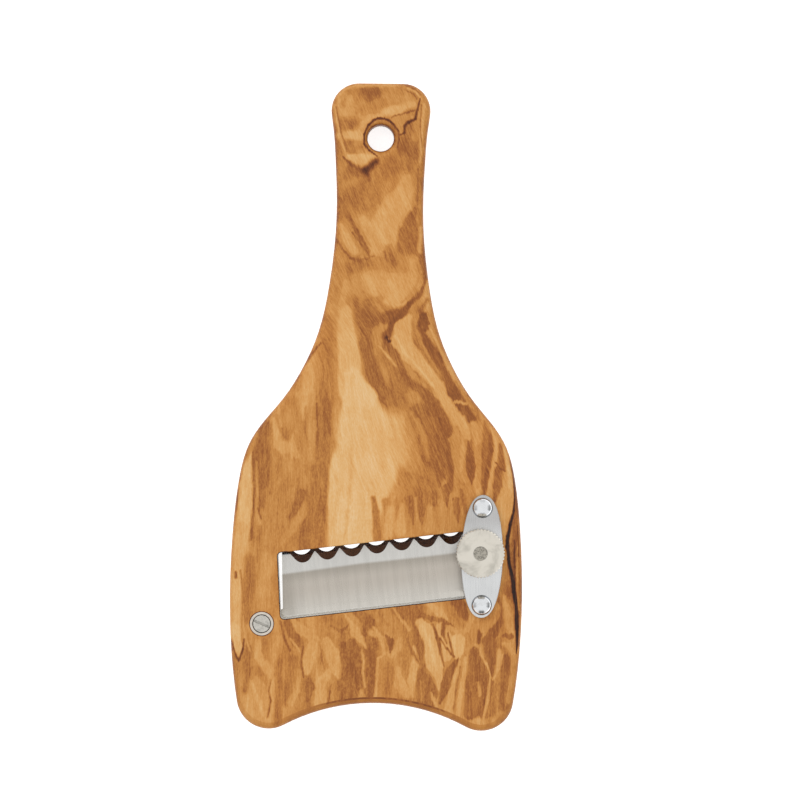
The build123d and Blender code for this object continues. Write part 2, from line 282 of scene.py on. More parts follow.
@dataclass(frozen=True)
class Finish:
    """A material: its name and what a Principled shader needs to look like it."""

    name: str
    metallic: float = 0.0

    def inputs(self, graph: NodeGraph) -> dict[str, object]:
        """Adds the patterns of this finish.

        Args:
            graph: The material's node tree.

        Returns:
            What the shader's inputs take, by their names.
        """
        raise NotImplementedError

    def material(self) -> bpy.types.Material:
        """Makes the material.

        Returns:
            The finished material.
        """
        made = bpy.data.materials.new(self.name)
        made.use_nodes = True
        graph = NodeGraph(made.node_tree)
        shader = made.node_tree.nodes["Principled BSDF"]
        graph.fill(shader, {"Metallic": self.metallic, **self.inputs(graph)})
        return made


# The wood's flames


@dataclass(frozen=True)
class PhotoGrid:
    """Turns a place in the photograph, in pixels, into one on the board, in millimetres."""

    scale: float = 0.32533
    middle: Range = (378.03, 400.0)
    turn: float = 0.01038
    rise: float = 2.16

    def place(self, x: float, y: float) -> Vector:
        """Finds the board's own place under a pixel.

        Args:
            x: Pixels from the left.
            y: Pixels from the top.

        Returns:
            The place on the board, in millimetres.
        """
        right, down = x - self.middle[0], y - self.middle[1]
        straight = math.sqrt(1 - self.turn**2)
        across = (straight * right + self.turn * down) * self.scale
        return Vector((across, (self.turn * right - straight * down) * self.scale + self.rise, 0.0))


PHOTO = PhotoGrid()


@dataclass(frozen=True)
class Flame:
    """One tapered stroke of the wood's figure.

    Its ends are places on the board, in millimetres. Its half widths there and its softness are in the photograph's
    pixels.
    """

    start: Vector
    end: Vector
    wide: Range
    tone: float
    soft: float
    share: float = 1.0


def trail(tone: float, soft: float, *points: tuple[float, ...]) -> tuple[Flame, ...]:
    """Chains strokes of one tone through some points.

    Args:
        tone: Their tone, from 0, nearly black, to 1, the palest honey.
        soft: How soft their sides are.
        *points: The places they pass, in pixels, each with half the width there. A fourth number is the share of
            what lies under it that the stroke to that point covers.

    Returns:
        The strokes, one from each point to the next.
    """
    return tuple(
        Flame(PHOTO.place(*start[:2]), PHOTO.place(*end[:2]), (start[2], end[2]), tone, soft, *end[3:])
        for start, end in zip(points, points[1:])
    )


# Each row is one trail: its tone, its softness and its points. Later rows lie over earlier ones.
HANDLE_END = (
    (0.58, 3, (350, 94, 8), (408, 94, 8)),
    (0.72, 2.5, (342, 104, 5), (345, 113, 7)),
    (0.70, 2.5, (350, 99, 4), (352, 116, 5)),
    (0.54, 2, (344, 101, 2), (343, 106, 2.5)),
    (0.42, 4, (364, 93, 4), (377, 94, 5)),
    (0.42, 4, (370, 95, 5), (368, 104, 2)),
    (0.66, 3, (388, 97, 5), (406, 101, 7)),
    (0.57, 3, (364, 110, 5), (384, 104, 4)),
    (0.83, 2, (384, 113, 3.5), (396, 112, 4.5)),
    (0.75, 2, (396, 112, 4.5), (412, 105, 3)),
    (0.52, 3, (341, 123, 4.5), (356, 124, 4.5)),
    (0.60, 2, (399, 121, 4.5), (412, 116, 3)),
    (0.60, 2, (401, 122, 5), (402, 131, 3)),
    (0.75, 1.2, (361, 134, 1.5), (363, 124, 2), (370, 117.5, 2), (381, 116, 1.8)),
    (0.78, 1.8, (341, 136, 4), (361, 136, 5)),
    (0.53, 3, (342, 148.5, 3.5), (362, 148, 4.5)),
    (0.47, 3, (412, 132, 6), (408, 146, 9)),
    (0.42, 3, (404, 143, 4), (402, 150, 4)),
    (0.58, 2, (416, 126, 3), (415, 138, 4)),
    (0.80, 1.2, (348, 158, 3), (374, 157.5, 2.5)),
    (0.79, 1.2, (356, 160, 5), (367, 162, 4)),
    (0.76, 1.2, (361, 163, 4), (362, 169, 0.8)),
    (0.30, 1.2, (343.4, 158, 0.7), (350.5, 165.5, 1.0), (361, 171.8, 1.6), (367, 169, 1.4)),
    (0.40, 4, (352, 168, 3), (368, 177, 4, 0.8)),
    (0.10, 2.5, (366, 171, 4), (376.5, 162, 3, 0.8)),
    (0.72, 1.2, (337, 98, 0.8), (345, 89.5, 1.4), (356, 86.5, 1.4), (398, 86, 1.3)),
    (0.42, 0.8, (405, 86, 0.5), (413.5, 89.5, 0.7), (421, 96, 0.7)),
    (0.76, 0.8, (407, 89, 0.8), (415, 93, 0.9), (421, 100, 0.7)),
    (0.45, 0.8, (405, 91, 0.4), (412, 94.5, 0.5), (416, 100, 0.5)),
    (0.40, 0.9, (414, 111, 0.7), (407, 113.7, 0.6), (396, 116.5, 0.6), (392, 119, 0.4)),
    (0.20, 0.9, (419.5, 99.5, 0.5), (416.8, 111, 1.0), (415.6, 119.5, 1.2), (409, 123, 1.3)),
    (0.20, 0.9, (409, 123, 1.3), (405.8, 127, 1.2), (404.8, 134, 0.9), (400, 135.5, 0.6)),
    (0.74, 1.2, (424, 106, 1.5), (422, 128, 1.8), (420, 162, 1.2)),
    (0.42, 0.8, (421, 106, 0.5), (420.5, 128, 0.6), (422, 148, 0.5)),
    (0.74, 1.2, (335, 106, 1.4), (339.5, 135, 1.6), (346, 158, 1.2)),
    (0.42, 0.8, (336.5, 108, 0.5), (340.5, 133, 0.7), (346.5, 152, 0.7)),
    # The hanging hole's mouth in painted shade, darkest in a thin ring round its rim
    (0.57, 1, (366.5, 147, 1.6), (366.4, 134, 1.6), (370.5, 126, 2), (379, 121.5, 2.2)),
    (0.55, 1, (379, 121.5, 2.2), (388, 123.5, 2.2), (394.5, 129.5, 2.2), (397, 139, 2), (395, 148, 1.6)),
    (0.17, 0.8, (377, 156.5, 0.5), (369.5, 151.5, 0.8), (365.2, 145, 0.8), (364.7, 135, 0.8)),
    (0.17, 0.8, (364.7, 135, 0.8), (368.5, 125.5, 0.9), (373.5, 120.5, 1.0), (379, 118.8, 1.1)),
    (0.20, 0.8, (379, 118.8, 1.1), (387.5, 120.8, 1.0), (394.5, 125.5, 0.9), (398.8, 132, 0.8)),
    (0.30, 0.8, (398.8, 132, 0.8), (399.6, 139.5, 0.7), (397.5, 148, 0.5)),
)
HANDLE = (
    (0.52, 4, (352, 182, 14), (362, 200, 14)),
    (0.52, 4, (386, 170, 10), (402, 160, 10)),
    (0.54, 4, (374, 190, 10), (372, 206, 6)),
    (0.60, 3, (344, 186, 2), (366, 176, 2.5)),
    (0.72, 3, (407, 178, 5), (405, 192, 9), (400, 206, 14)),
    (0.74, 3, (396, 204, 12), (388, 222, 13), (382, 244, 15)),
    (0.71, 2.5, (363, 220, 4), (369, 232, 8)),
    (0.76, 2, (400, 190, 3), (388, 214, 4), (380, 240, 5)),
    (0.50, 1.8, (412, 214, 3), (408, 228, 9), (408, 246, 12)),
    (0.68, 1.2, (403, 216, 1.5), (400, 226, 2)),
    (0.44, 2, (415, 210, 1.5), (411, 226, 3)),
    (0.74, 1.2, (421, 228, 1.5), (420, 252, 2)),
    (0.46, 1, (418, 170, 0.6), (418.5, 205, 0.7)),
    (0.52, 2, (340, 192, 2), (346, 212, 4)),
    (0.46, 1.5, (341, 200, 1.2), (349, 217, 1.8)),
    (0.74, 1.8, (342, 226, 2.5), (347, 240, 4), (355, 252, 4)),
    (0.42, 1.2, (349, 217, 1.6), (357, 231, 1.8), (368, 252, 1.8)),
    (0.62, 1, (353, 218, 0.8), (362, 233, 1), (370, 247, 0.8)),
    (0.40, 1, (336.7, 237, 0.6), (342.7, 249, 0.9), (351, 258, 1.0), (360, 261.6, 1.2)),
    (0.40, 1, (360, 261.6, 1.2), (373.5, 256.5, 0.9)),
    (0.42, 1, (353, 233, 0.7), (363, 247, 1), (369, 256, 0.9)),
    (0.66, 4, (352, 286, 9), (368, 282, 12)),
    (0.71, 4, (376, 282, 12), (398, 288, 13), (411, 280, 9)),
    (0.52, 3, (346, 266, 3), (358, 268, 5), (370, 262, 4)),
    (0.60, 4, (376, 262, 5), (404, 262, 7)),
    (0.52, 2, (389, 248, 3), (394, 264, 4)),
    (0.48, 1.5, (385, 252, 1.2), (388, 262, 1.2)),
    (0.74, 3, (372, 278, 5), (373, 292, 5)),
    (0.77, 3, (391, 286, 5), (396, 300, 8)),
    (0.70, 3, (413, 262, 5), (416, 284, 5)),
    (0.56, 3, (337, 262, 2), (335, 300, 3)),
    (0.68, 1.5, (346, 282, 3), (342, 304, 4)),
)
NECK = (
    (0.43, 4, (367, 304, 4), (373, 318, 9)),
    (0.48, 3, (366, 316, 6), (366, 345, 6), (372, 372, 7), (384, 400, 9), (392, 420, 10)),
    (0.52, 2, (354, 312, 2), (352, 330, 2)),
    (0.52, 3, (396, 350, 6), (400, 400, 14)),
    (0.74, 2, (386, 302, 3), (402, 304, 5)),
    (0.42, 2, (386, 318, 6), (402, 312, 5)),
    (0.40, 1.2, (425.6, 261, 0.7), (424.7, 283, 0.9), (419.6, 295, 2.0), (409, 305, 2.4)),
    (0.36, 1.2, (409, 305, 2.4), (401, 314, 3.2), (392, 325, 3.4), (387.5, 336, 2.8)),
    (0.64, 1, (421, 272, 1.2), (414, 292, 1.2), (402, 303, 1)),
    (0.76, 1.5, (428, 283, 2), (427, 298, 3.5)),
    (0.50, 1.5, (427, 300, 2), (420, 312, 3)),
    (0.74, 1.2, (409, 317, 3), (402.5, 328, 8.5), (401.5, 341, 10), (408, 352, 9.5)),
    (0.75, 1.2, (408, 352, 9.5), (419, 364, 8), (432, 379, 6), (443, 394, 4.5), (462, 430, 3.5)),
    (0.86, 1, (395, 336, 1.2), (403, 351, 1.4), (418, 368, 1.2), (433, 386, 1)),
    (0.52, 1, (413, 322, 0.8), (417, 343, 1.2), (429, 362, 1.5), (442, 380, 1.4)),
    (0.43, 1.2, (391.5, 346, 1.0), (398, 356, 1.6), (403.5, 372, 2.2), (411, 384, 3)),
    (0.43, 1.2, (411, 384, 3), (422, 392, 5), (434, 406, 7), (446, 430, 8)),
    (0.74, 1, (378.6, 346, 0.7), (388, 356, 1.1), (396, 366, 0.7)),
    (0.48, 1, (396, 350, 0.8), (400, 362, 1), (404, 378, 0.8)),
    (0.62, 1.5, (404, 362, 1), (414, 376, 2), (424, 386, 1.2)),
    (0.35, 1.2, (424, 316, 4), (424, 326, 6.5), (422, 330, 2)),
    (0.40, 1.2, (421, 328, 2), (427, 342, 4), (437, 358, 4.5), (446, 376, 4)),
    (0.40, 1.2, (446, 374, 4), (453, 392, 6), (464, 408, 5), (470, 419, 5)),
    (0.72, 0.9, (430, 326, 0.8), (437, 344, 1.1), (447, 362, 1.2), (459, 383, 1.2), (466, 394, 0.8)),
    (0.55, 1, (434, 326, 1.0), (441, 342, 1.4), (451, 360, 1.4), (466, 384, 1.2)),
    (0.70, 0.9, (450, 404, 0.7), (457, 401.5, 1.6), (466, 404, 1.2)),
    (0.38, 2, (385, 334, 2), (385, 347, 1.6)),
    (0.18, 1, (386.6, 337.6, 1.3), (389.6, 341.2, 1.9)),
    (0.44, 0.6, (388.4, 338.4, 0.5), (388.9, 339.8, 0.5)),
)
PANEL = (
    (0.78, 1.8, (346, 312, 6), (347, 340, 9)),
    (0.83, 1.5, (347, 340, 9), (350, 362, 11), (352, 392, 13)),
    (0.91, 1.5, (354, 376, 8), (360, 400, 17), (362, 424, 24)),
    (0.80, 6, (394, 424, 12), (398, 455, 12)),
    (0.89, 3, (364, 424, 25), (366, 470, 31)),
    (0.89, 2, (361, 470, 32), (350, 540, 23)),
    (0.93, 3, (350, 480, 9), (346, 530, 9)),
    (0.82, 1.5, (352, 436, 1.5), (350, 500, 2.0), (344, 540, 1.5)),
    (0.84, 2, (380, 430, 3), (384, 470, 3.5)),
    (0.52, 1.2, (373, 498, 2.5), (376, 512, 4), (377, 538, 4.5)),
    (0.56, 1.2, (386, 501, 3.5), (388, 514, 2.5), (389, 525, 0.7)),
    (0.74, 1.5, (390, 508, 3), (388, 534, 5)),
    (0.57, 1.2, (397, 500, 3), (397, 519, 0.8)),
    (0.54, 1.8, (407, 476, 4), (410, 500, 4.5)),
    (0.50, 1, (409, 499, 4.5), (411.5, 510, 3.2), (413.5, 524, 0.7)),
    (0.76, 1.5, (402, 505, 2), (401, 530, 6)),
    (0.48, 1, (421, 490, 3.5), (421.5, 508, 3.2), (422, 523, 1.5)),
    (0.70, 1, (415.5, 498, 0.8), (417, 524, 1.6)),
    (0.62, 1.5, (418, 524, 3), (416, 534, 4)),
)
LEFT_SIDE = (
    (0.57, 4, (280, 464, 14), (278, 545, 18)),
    (0.54, 2.5, (328, 322, 7), (327, 400, 8.5)),
    (0.74, 1.8, (311, 352, 3), (306, 398, 8)),
    (0.40, 1, (320.5, 343, 0.7), (310, 358, 0.9), (300.5, 373, 0.8)),
    (0.53, 2, (324, 398, 8), (323, 452, 8)),
    (0.48, 3, (327, 402, 3), (328, 432, 3.5)),
    (0.43, 1.2, (316.5, 404, 0.9), (317, 440, 1.1), (315.5, 470, 1.1)),
    (0.52, 2.5, (321, 455, 9), (317, 500, 9), (314, 540, 9)),
    (0.66, 1.5, (311.5, 396, 4), (312, 430, 4.5), (310, 462, 3.5)),
    (0.73, 1.5, (299, 396, 4.5), (301, 418, 3.5)),
    (0.58, 2.5, (293, 402, 6), (298, 440, 8), (302, 482, 8)),
    (0.74, 1.2, (273.5, 420, 2.2), (276, 432, 3.5), (282, 444, 6), (289, 456, 5)),
    (0.72, 1.2, (293, 434, 1), (292, 446, 4), (298, 456, 3)),
    (0.63, 3, (288, 456, 4), (295, 470, 3), (294, 486, 3)),
    (0.51, 2.5, (283, 426, 1.6), (285, 437, 2.4)),
    (0.70, 1, (280.5, 420, 0.9), (282, 427, 1.2)),
    (0.50, 2.5, (265, 424, 6), (263, 448, 9), (263, 480, 8)),
    (0.49, 3, (261, 480, 5), (260, 505, 4)),
    (0.58, 3, (278, 486, 8), (276, 545, 9)),
    (0.44, 3, (302, 492, 2.5), (298, 504, 3), (291, 517, 1.2)),
    (0.66, 1.2, (304, 503, 1.6), (303, 512, 4), (297, 524, 4), (289, 534, 3.5), (281, 545, 2.5)),
    (0.52, 1.5, (301, 526, 2), (297, 545, 3)),
    (0.56, 1.5, (249, 446, 2), (243, 462, 2.5), (238, 486, 2.2), (235, 516, 2)),
    (0.83, 1.2, (252.5, 453, 0.8), (249, 468, 4.5), (246, 484, 6), (245.5, 505, 6.5), (243, 528, 7)),
    (0.77, 1.2, (243, 528, 7), (241.5, 548, 7), (238, 575, 6)),
    (0.42, 0.9, (253.5, 452, 0.6), (254.6, 480, 0.9), (253.4, 507, 0.9), (251.7, 540, 0.7)),
    (0.64, 0.9, (257, 462, 0.8), (257.4, 500, 1.1), (256, 530, 1.0), (256, 560, 0.8)),
    (0.68, 1.2, (258, 514, 1.6), (260, 522, 2.2)),
    (0.40, 0.9, (258.5, 508, 0.8), (261.5, 518, 0.6)),
)
RIGHT_SIDE = (
    (0.64, 3, (414, 396, 5), (420, 408, 5)),
    (0.48, 4, (420, 408, 7), (430, 440, 12), (436, 470, 13)),
    (0.43, 2, (424, 408, 1.5), (438, 436, 2.5), (444, 466, 3)),
    (0.60, 2, (413, 414, 1.5), (424, 440, 2.2), (428, 460, 1.2)),
    (0.53, 4, (426, 474, 10), (432, 498, 12)),
    (0.64, 1.5, (418, 420, 1.5), (424, 442, 2)),
    (0.43, 1.5, (441, 424, 2.5), (446, 444, 3.5), (450, 468, 3.5), (450, 490, 3)),
    (0.46, 1.2, (434, 440, 1.2), (438, 466, 1.6), (440, 486, 1.6)),
    (0.46, 1, (446, 488, 4.5), (446.5, 500, 2.5), (447.5, 507, 0.6)),
    (0.47, 1, (434.5, 494, 3), (435, 503, 1.8), (435.5, 511, 0.6)),
    (0.62, 1.2, (458, 428, 2.5), (457, 450, 3), (456, 480, 2.5)),
    (0.73, 1.2, (462, 418, 3), (465, 432, 5.5), (470, 438, 2)),
    (0.68, 1.2, (462, 438, 3.5), (461, 470, 2)),
    (0.50, 1, (459.5, 432, 0.5), (460, 444, 0.6)),
    (0.70, 1.2, (473, 424, 3), (477, 446, 2.2)),
    (0.42, 1, (468.5, 441, 0.8), (469.5, 453, 4), (471, 466, 4.8), (471, 476, 3.2), (471.5, 484, 0.7)),
    (0.60, 1.2, (478, 446, 1.6), (478, 486, 1.8)),
    (0.50, 1, (483.5, 421, 1), (486, 434, 5), (487, 446, 6.5), (486, 466, 5.5), (484, 492, 3)),
    (0.40, 1, (489, 436, 2), (490.5, 450, 3), (487, 470, 2.4), (483.5, 494, 1.2)),
    (0.75, 0.8, (491, 428, 0.7), (495.4, 441, 1.2), (497.6, 452, 1.6), (494.6, 466, 1.6)),
    (0.74, 0.8, (494.6, 466, 1.6), (490.6, 480, 1.4), (487, 494, 1.2)),
    (0.46, 1.2, (499.5, 444, 1.5), (502, 455, 4), (502, 468, 3.5)),
    (0.47, 1.2, (499, 470, 4), (497.5, 486, 5), (494, 500, 2.5)),
    (0.32, 0.8, (496, 462, 0.4), (501, 468, 0.6), (504.5, 471, 0.4)),
    (0.82, 1.2, (505, 448, 1.6), (509, 468, 3), (510.5, 484, 2.6), (509, 494, 2.5)),
    (0.71, 1.5, (506, 492, 5), (503, 512, 5), (501.5, 530, 2.5)),
    (0.44, 1, (456.5, 500, 3.6), (457, 512, 2.8), (458, 522, 0.8)),
    (0.50, 1.5, (462, 490, 2.5), (467, 518, 2.5)),
    (0.66, 1.2, (440.5, 500, 1.2), (441, 522, 4)),
    (0.68, 1.5, (430, 508, 3.5), (430, 528, 6)),
    (0.60, 1.5, (450, 512, 3), (450, 528, 4)),
    (0.56, 1.5, (462, 516, 2), (459, 530, 3)),
    (0.42, 1.5, (516, 500, 2), (514, 545, 4.5), (516, 600, 3.5), (517, 644, 2.5)),
    (0.60, 1, (517, 548, 0.8), (516.5, 575, 1.0), (518.5, 610, 0.8)),
    (0.16, 0.7, (513, 540, 0.6), (514.5, 566, 0.7), (513.5, 600, 0.5)),
    (0.22, 0.7, (517, 526, 0.4), (518.6, 556, 0.5)),
    (0.05, 0.7, (514.2, 478, 0.5), (515, 496, 0.8), (513, 510, 1.1), (509.5, 524, 1.3)),
    (0.03, 0.7, (509.5, 524, 1.3), (506.8, 536, 1.7), (506.2, 546, 1.9), (508, 558, 1.6)),
    (0.03, 0.7, (508, 558, 1.6), (511.5, 574, 1.7), (514, 592, 2.0), (516.8, 616, 1.8)),
    (0.05, 0.7, (516.8, 616, 1.8), (517, 634, 1.5), (515.8, 652, 0.6)),
)
FOOT_LEFT = (
    (0.52, 2.5, (252, 560, 6.5), (248, 618, 6)),
    (0.50, 2, (249, 646, 4), (248, 662, 4)),
    (0.67, 2.5, (268, 556, 6), (266, 604, 8)),
    (0.80, 1.2, (236, 576, 5), (235, 610, 6.5), (236, 630, 6)),
    (0.50, 1, (240.5, 570, 0.8), (243.5, 602, 0.9)),
    (0.84, 0.9, (235.5, 628, 5.5), (238, 645, 4), (239.5, 660, 0.8)),
    (0.26, 0.8, (231.8, 633, 0.4), (234.8, 648, 0.7), (239.2, 660, 0.9)),
    (0.26, 0.8, (244.2, 638, 0.4), (243.2, 648, 0.8), (239.6, 660, 1.0)),
    (0.72, 0.8, (243.8, 616, 0.6), (245.5, 636, 0.9), (250.5, 650, 0.7)),
    (0.36, 1, (236, 572, 1.2), (236, 577, 1.2)),
    (0.72, 1.2, (259, 641, 3), (261, 656, 5.5), (267, 668, 4), (272, 678, 0.8)),
    (0.70, 1.2, (275, 646, 2.4), (273.5, 664, 1.8), (272.5, 677, 0.8)),
    (0.54, 1, (264.5, 639, 2), (266, 650, 3), (266, 659, 0.8)),
    (0.50, 2, (249, 668, 4), (245, 690, 3)),
    (0.69, 1.2, (256.5, 676, 2), (259, 690, 9), (262, 706, 8), (263, 720, 5)),
    (0.78, 1, (252, 680, 1), (258, 698, 1.6), (264, 714, 1.2)),
    (0.44, 0.9, (270.5, 679, 0.6), (268.5, 690, 0.9), (270.8, 700, 0.9), (268, 716, 0.8)),
    (0.76, 0.8, (272.6, 679, 0.6), (270.6, 690, 0.8), (272.8, 700, 0.9), (270, 718, 0.8)),
    (0.52, 2, (279, 662, 4), (278, 722, 4)),
    (0.42, 1, (280, 620, 1.0), (284.6, 636, 1.2), (291, 650, 0.8)),
    (0.47, 1.5, (288, 622, 3.5), (297, 642, 5)),
    (0.70, 1, (293, 619, 2), (301, 629, 5), (311, 635, 4.5), (320, 640, 1.2)),
    (0.72, 0.8, (291, 638, 0.7), (300, 650, 0.8)),
    (0.52, 2, (294, 656, 4), (285, 700, 5)),
    (0.72, 1, (312, 646, 6), (309, 658, 6), (308, 670, 4)),
    (0.68, 1.2, (300, 670, 2.5), (298, 690, 3.5), (291, 702, 4)),
    (0.42, 0.9, (303, 646, 0.6), (302, 662, 0.8), (304.5, 676, 0.8)),
    (0.48, 1, (310, 676, 1.4), (311, 686, 4.5), (309, 699, 2)),
    (0.73, 1, (327, 640, 4), (332, 652, 7), (336, 668, 5.5), (338, 676, 2)),
    (0.50, 0.9, (321, 644, 0.6), (323, 660, 0.9), (326, 672, 0.8)),
    (0.73, 1, (330, 670, 3), (322, 682, 5), (320, 702, 6)),
    (0.46, 0.9, (331, 684, 0.6), (327.5, 704, 0.9)),
    (0.49, 3, (350, 648, 7), (353, 690, 14)),
    (0.49, 2, (371, 642, 5), (371, 692, 6)),
    (0.53, 3, (322, 618, 3), (338, 620, 4)),
    (0.46, 1, (332, 625, 0.5), (341, 631, 0.9), (348, 624, 0.6)),
    (0.73, 1, (344, 613, 0.8), (350, 622, 2), (355, 631, 5.4), (360, 638, 3.4), (365, 646, 1.4)),
    (0.48, 1.5, (342, 644, 2), (352, 641, 3), (360, 650, 2)),
    (0.72, 0.8, (362, 650, 0.7), (363.6, 660, 1.0), (363, 672, 1.0), (366, 686, 0.8)),
    (0.66, 1, (362, 690, 2), (362.5, 697, 4)),
)
FOOT_RIGHT = (
    (0.50, 1.5, (352, 609, 3), (364, 617, 5), (372, 625, 3)),
    (0.43, 1, (368.5, 614, 0.7), (373.5, 620, 1.2), (375, 625, 0.7)),
    (0.50, 1.2, (404, 604, 5), (413, 616, 4), (417, 630, 2)),
    (0.70, 1.2, (371, 632, 3), (378, 634, 3)),
    (0.72, 1, (374, 627, 1.2), (381, 637, 2.4), (384, 653, 2)),
    (0.62, 2, (388, 628, 3), (388, 660, 5)),
    (0.68, 1.2, (400, 638, 2), (399, 647, 4), (390, 654, 2.8), (384, 652, 1.6)),
    (0.43, 0.9, (386, 634.5, 1), (391, 641, 3.6), (391, 647.5, 2.2), (389.5, 652, 0.6)),
    (0.54, 2, (388, 668, 6), (387, 694, 6)),
    (0.74, 0.8, (384, 653, 0.9), (378, 657.5, 1.0), (377, 680, 1.0), (375.5, 697, 1.6)),
    (0.65, 2, (386, 611, 4), (394, 624, 4)),
    (0.70, 0.8, (393, 607, 0.7), (400, 617, 1.0), (409, 629, 1.8)),
    (0.50, 1.5, (414, 630, 2.5), (421, 650, 2.5)),
    (0.71, 1.5, (398, 668, 3), (400, 682, 6), (406, 692, 6)),
    (0.75, 1, (413, 646, 1.2), (415, 663, 4), (412, 680, 4), (412.5, 696, 1.4)),
    (0.50, 1, (407, 638, 1), (412, 652, 1.6), (420, 664, 1.2)),
    (0.79, 0.9, (420, 622, 4.5), (427, 631, 8), (430.5, 642, 7), (433, 656, 9), (435, 664, 8.5)),
    (0.78, 0.9, (435, 664, 8.5), (438, 676, 4), (438, 690, 0.9)),
    (0.76, 1, (441, 627, 5), (446, 640, 7), (446, 656, 5)),
    (0.86, 1, (422, 625, 1.6), (430, 644, 2), (434, 664, 1.6)),
    (0.46, 1, (420.5, 671, 2.5), (425, 680, 7), (428, 694, 9.5), (426, 702, 9)),
    (0.72, 0.9, (431, 692, 0.7), (433.5, 699, 1.8), (436, 706, 1.2)),
    (0.58, 1, (421, 680, 0.7), (422, 700, 1.2)),
    (0.47, 0.9, (415, 607, 0.6), (424, 615, 1.2), (432, 618, 2.8), (442, 619.5, 2.4), (453, 626, 0.8)),
    (0.73, 1, (430, 603, 3), (439, 611, 4.2), (446, 618, 1.6)),
    (0.54, 1, (444, 602, 2.5), (454, 612, 4), (463, 626, 2.5)),
    (0.42, 1.2, (452, 601, 3), (460, 604, 6), (464, 614, 4), (468, 622, 1.5)),
    (0.71, 1.2, (471, 617, 2.2), (466, 629, 2.8), (457, 634, 2)),
    (0.68, 1, (448, 627, 2.5), (460, 632, 2.5)),
    (0.82, 0.8, (453, 638.5, 3.4), (460, 638, 3.2)),
    (0.82, 0.8, (457.5, 640, 7), (457, 651, 6), (457, 656, 3.5)),
    (0.44, 0.7, (433, 624, 1.1), (437.6, 638, 2.0), (440.5, 653, 1.4), (444, 665, 0.7)),
    (0.42, 0.8, (443, 624, 2.2), (442.6, 634, 1.6), (446, 642, 0.8)),
    (0.42, 0.7, (439.6, 638, 0.8), (445.8, 647, 1.0), (453.5, 656.5, 1.1)),
    (0.45, 0.7, (447, 632, 0.6), (449.6, 642, 1.1), (452, 653, 0.8)),
    (0.74, 0.9, (459, 661, 1.6), (452, 690, 4), (448, 712, 5)),
    (0.43, 0.9, (457, 658, 1.2), (450, 671, 4.2), (445.5, 684, 5.2), (439.5, 702, 1.4)),
    (0.75, 0.8, (465.5, 657, 1.6), (461.5, 690, 2.4), (458, 714, 2)),
    (0.50, 0.8, (459.5, 666, 0.8), (456.5, 690, 1.1), (453.5, 712, 0.9)),
    (0.46, 1, (474, 651, 5), (474, 680, 8), (470, 712, 7)),
    (0.76, 0.9, (442, 712, 2.5), (450, 712, 4)),
    (0.48, 1.5, (480, 664, 9), (484, 684, 11), (484, 706, 12)),
    (0.48, 1.5, (506, 656, 3), (506, 704, 5)),
    (0.46, 1.2, (490, 642, 8), (491, 658, 6), (492.5, 674, 1.5)),
    (0.62, 1.5, (484, 610, 4), (496, 606, 4)),
    (0.43, 1, (500, 598, 0.7), (502.6, 608, 1.4), (501.5, 620, 2.6), (494, 632, 5), (485, 641, 4)),
    (0.42, 1, (477, 629, 1), (479, 634, 2.6), (478, 641, 2.2)),
    (0.43, 0.8, (504, 635, 1.8), (510, 636, 3.2)),
    (0.55, 1.5, (482, 619, 4), (494, 614, 5)),
    (0.56, 1.5, (474.5, 622, 2), (471.5, 640, 3)),
    (0.45, 0.9, (488.5, 648, 2), (491, 662, 4.5), (491.5, 675, 1.2)),
    (0.74, 0.8, (479.6, 650, 0.7), (486, 663, 1.0), (491, 677, 0.9)),
    (0.74, 0.8, (502.7, 653, 0.8), (499.6, 668, 1.1), (493.5, 679, 0.9)),
    (0.70, 0.9, (499.5, 651, 2.4), (499.5, 662, 2.6), (497.5, 671, 1)),
    (0.45, 2, (507, 660, 3), (506, 684, 5), (502, 706, 4)),
    (0.38, 0.8, (483, 681, 0.7), (485.6, 690, 1.3), (481, 723, 1.0)),
    (0.70, 0.9, (490, 676, 1.0), (487.5, 700, 1.6), (481, 724, 1.2)),
    (0.66, 0.9, (478, 681, 1), (479.5, 694, 1.4)),
    (0.52, 1.2, (495, 684, 2.5), (492, 712, 4)),
    (0.70, 1, (503, 642.5, 1.8), (508, 645, 2.8), (512, 652, 2), (514, 664, 1.2)),
    (0.68, 1.2, (504.5, 596, 1.5), (507.5, 614, 2.6), (508, 627, 1.8)),
    (0.62, 1.2, (513, 656, 2), (509, 700, 3)),
    (0.05, 0.7, (515, 604, 1.1), (516.6, 632, 1.4), (515.7, 649, 0.6)),
)


# Olive wood


@dataclass(frozen=True)
class Spot:
    """A shaded place in millimetres, whose depth counts from the front, and how its surface faces."""

    x: Socket
    y: Socket
    depth: Socket
    solid: Socket
    normal_y: Socket
    slope: Socket


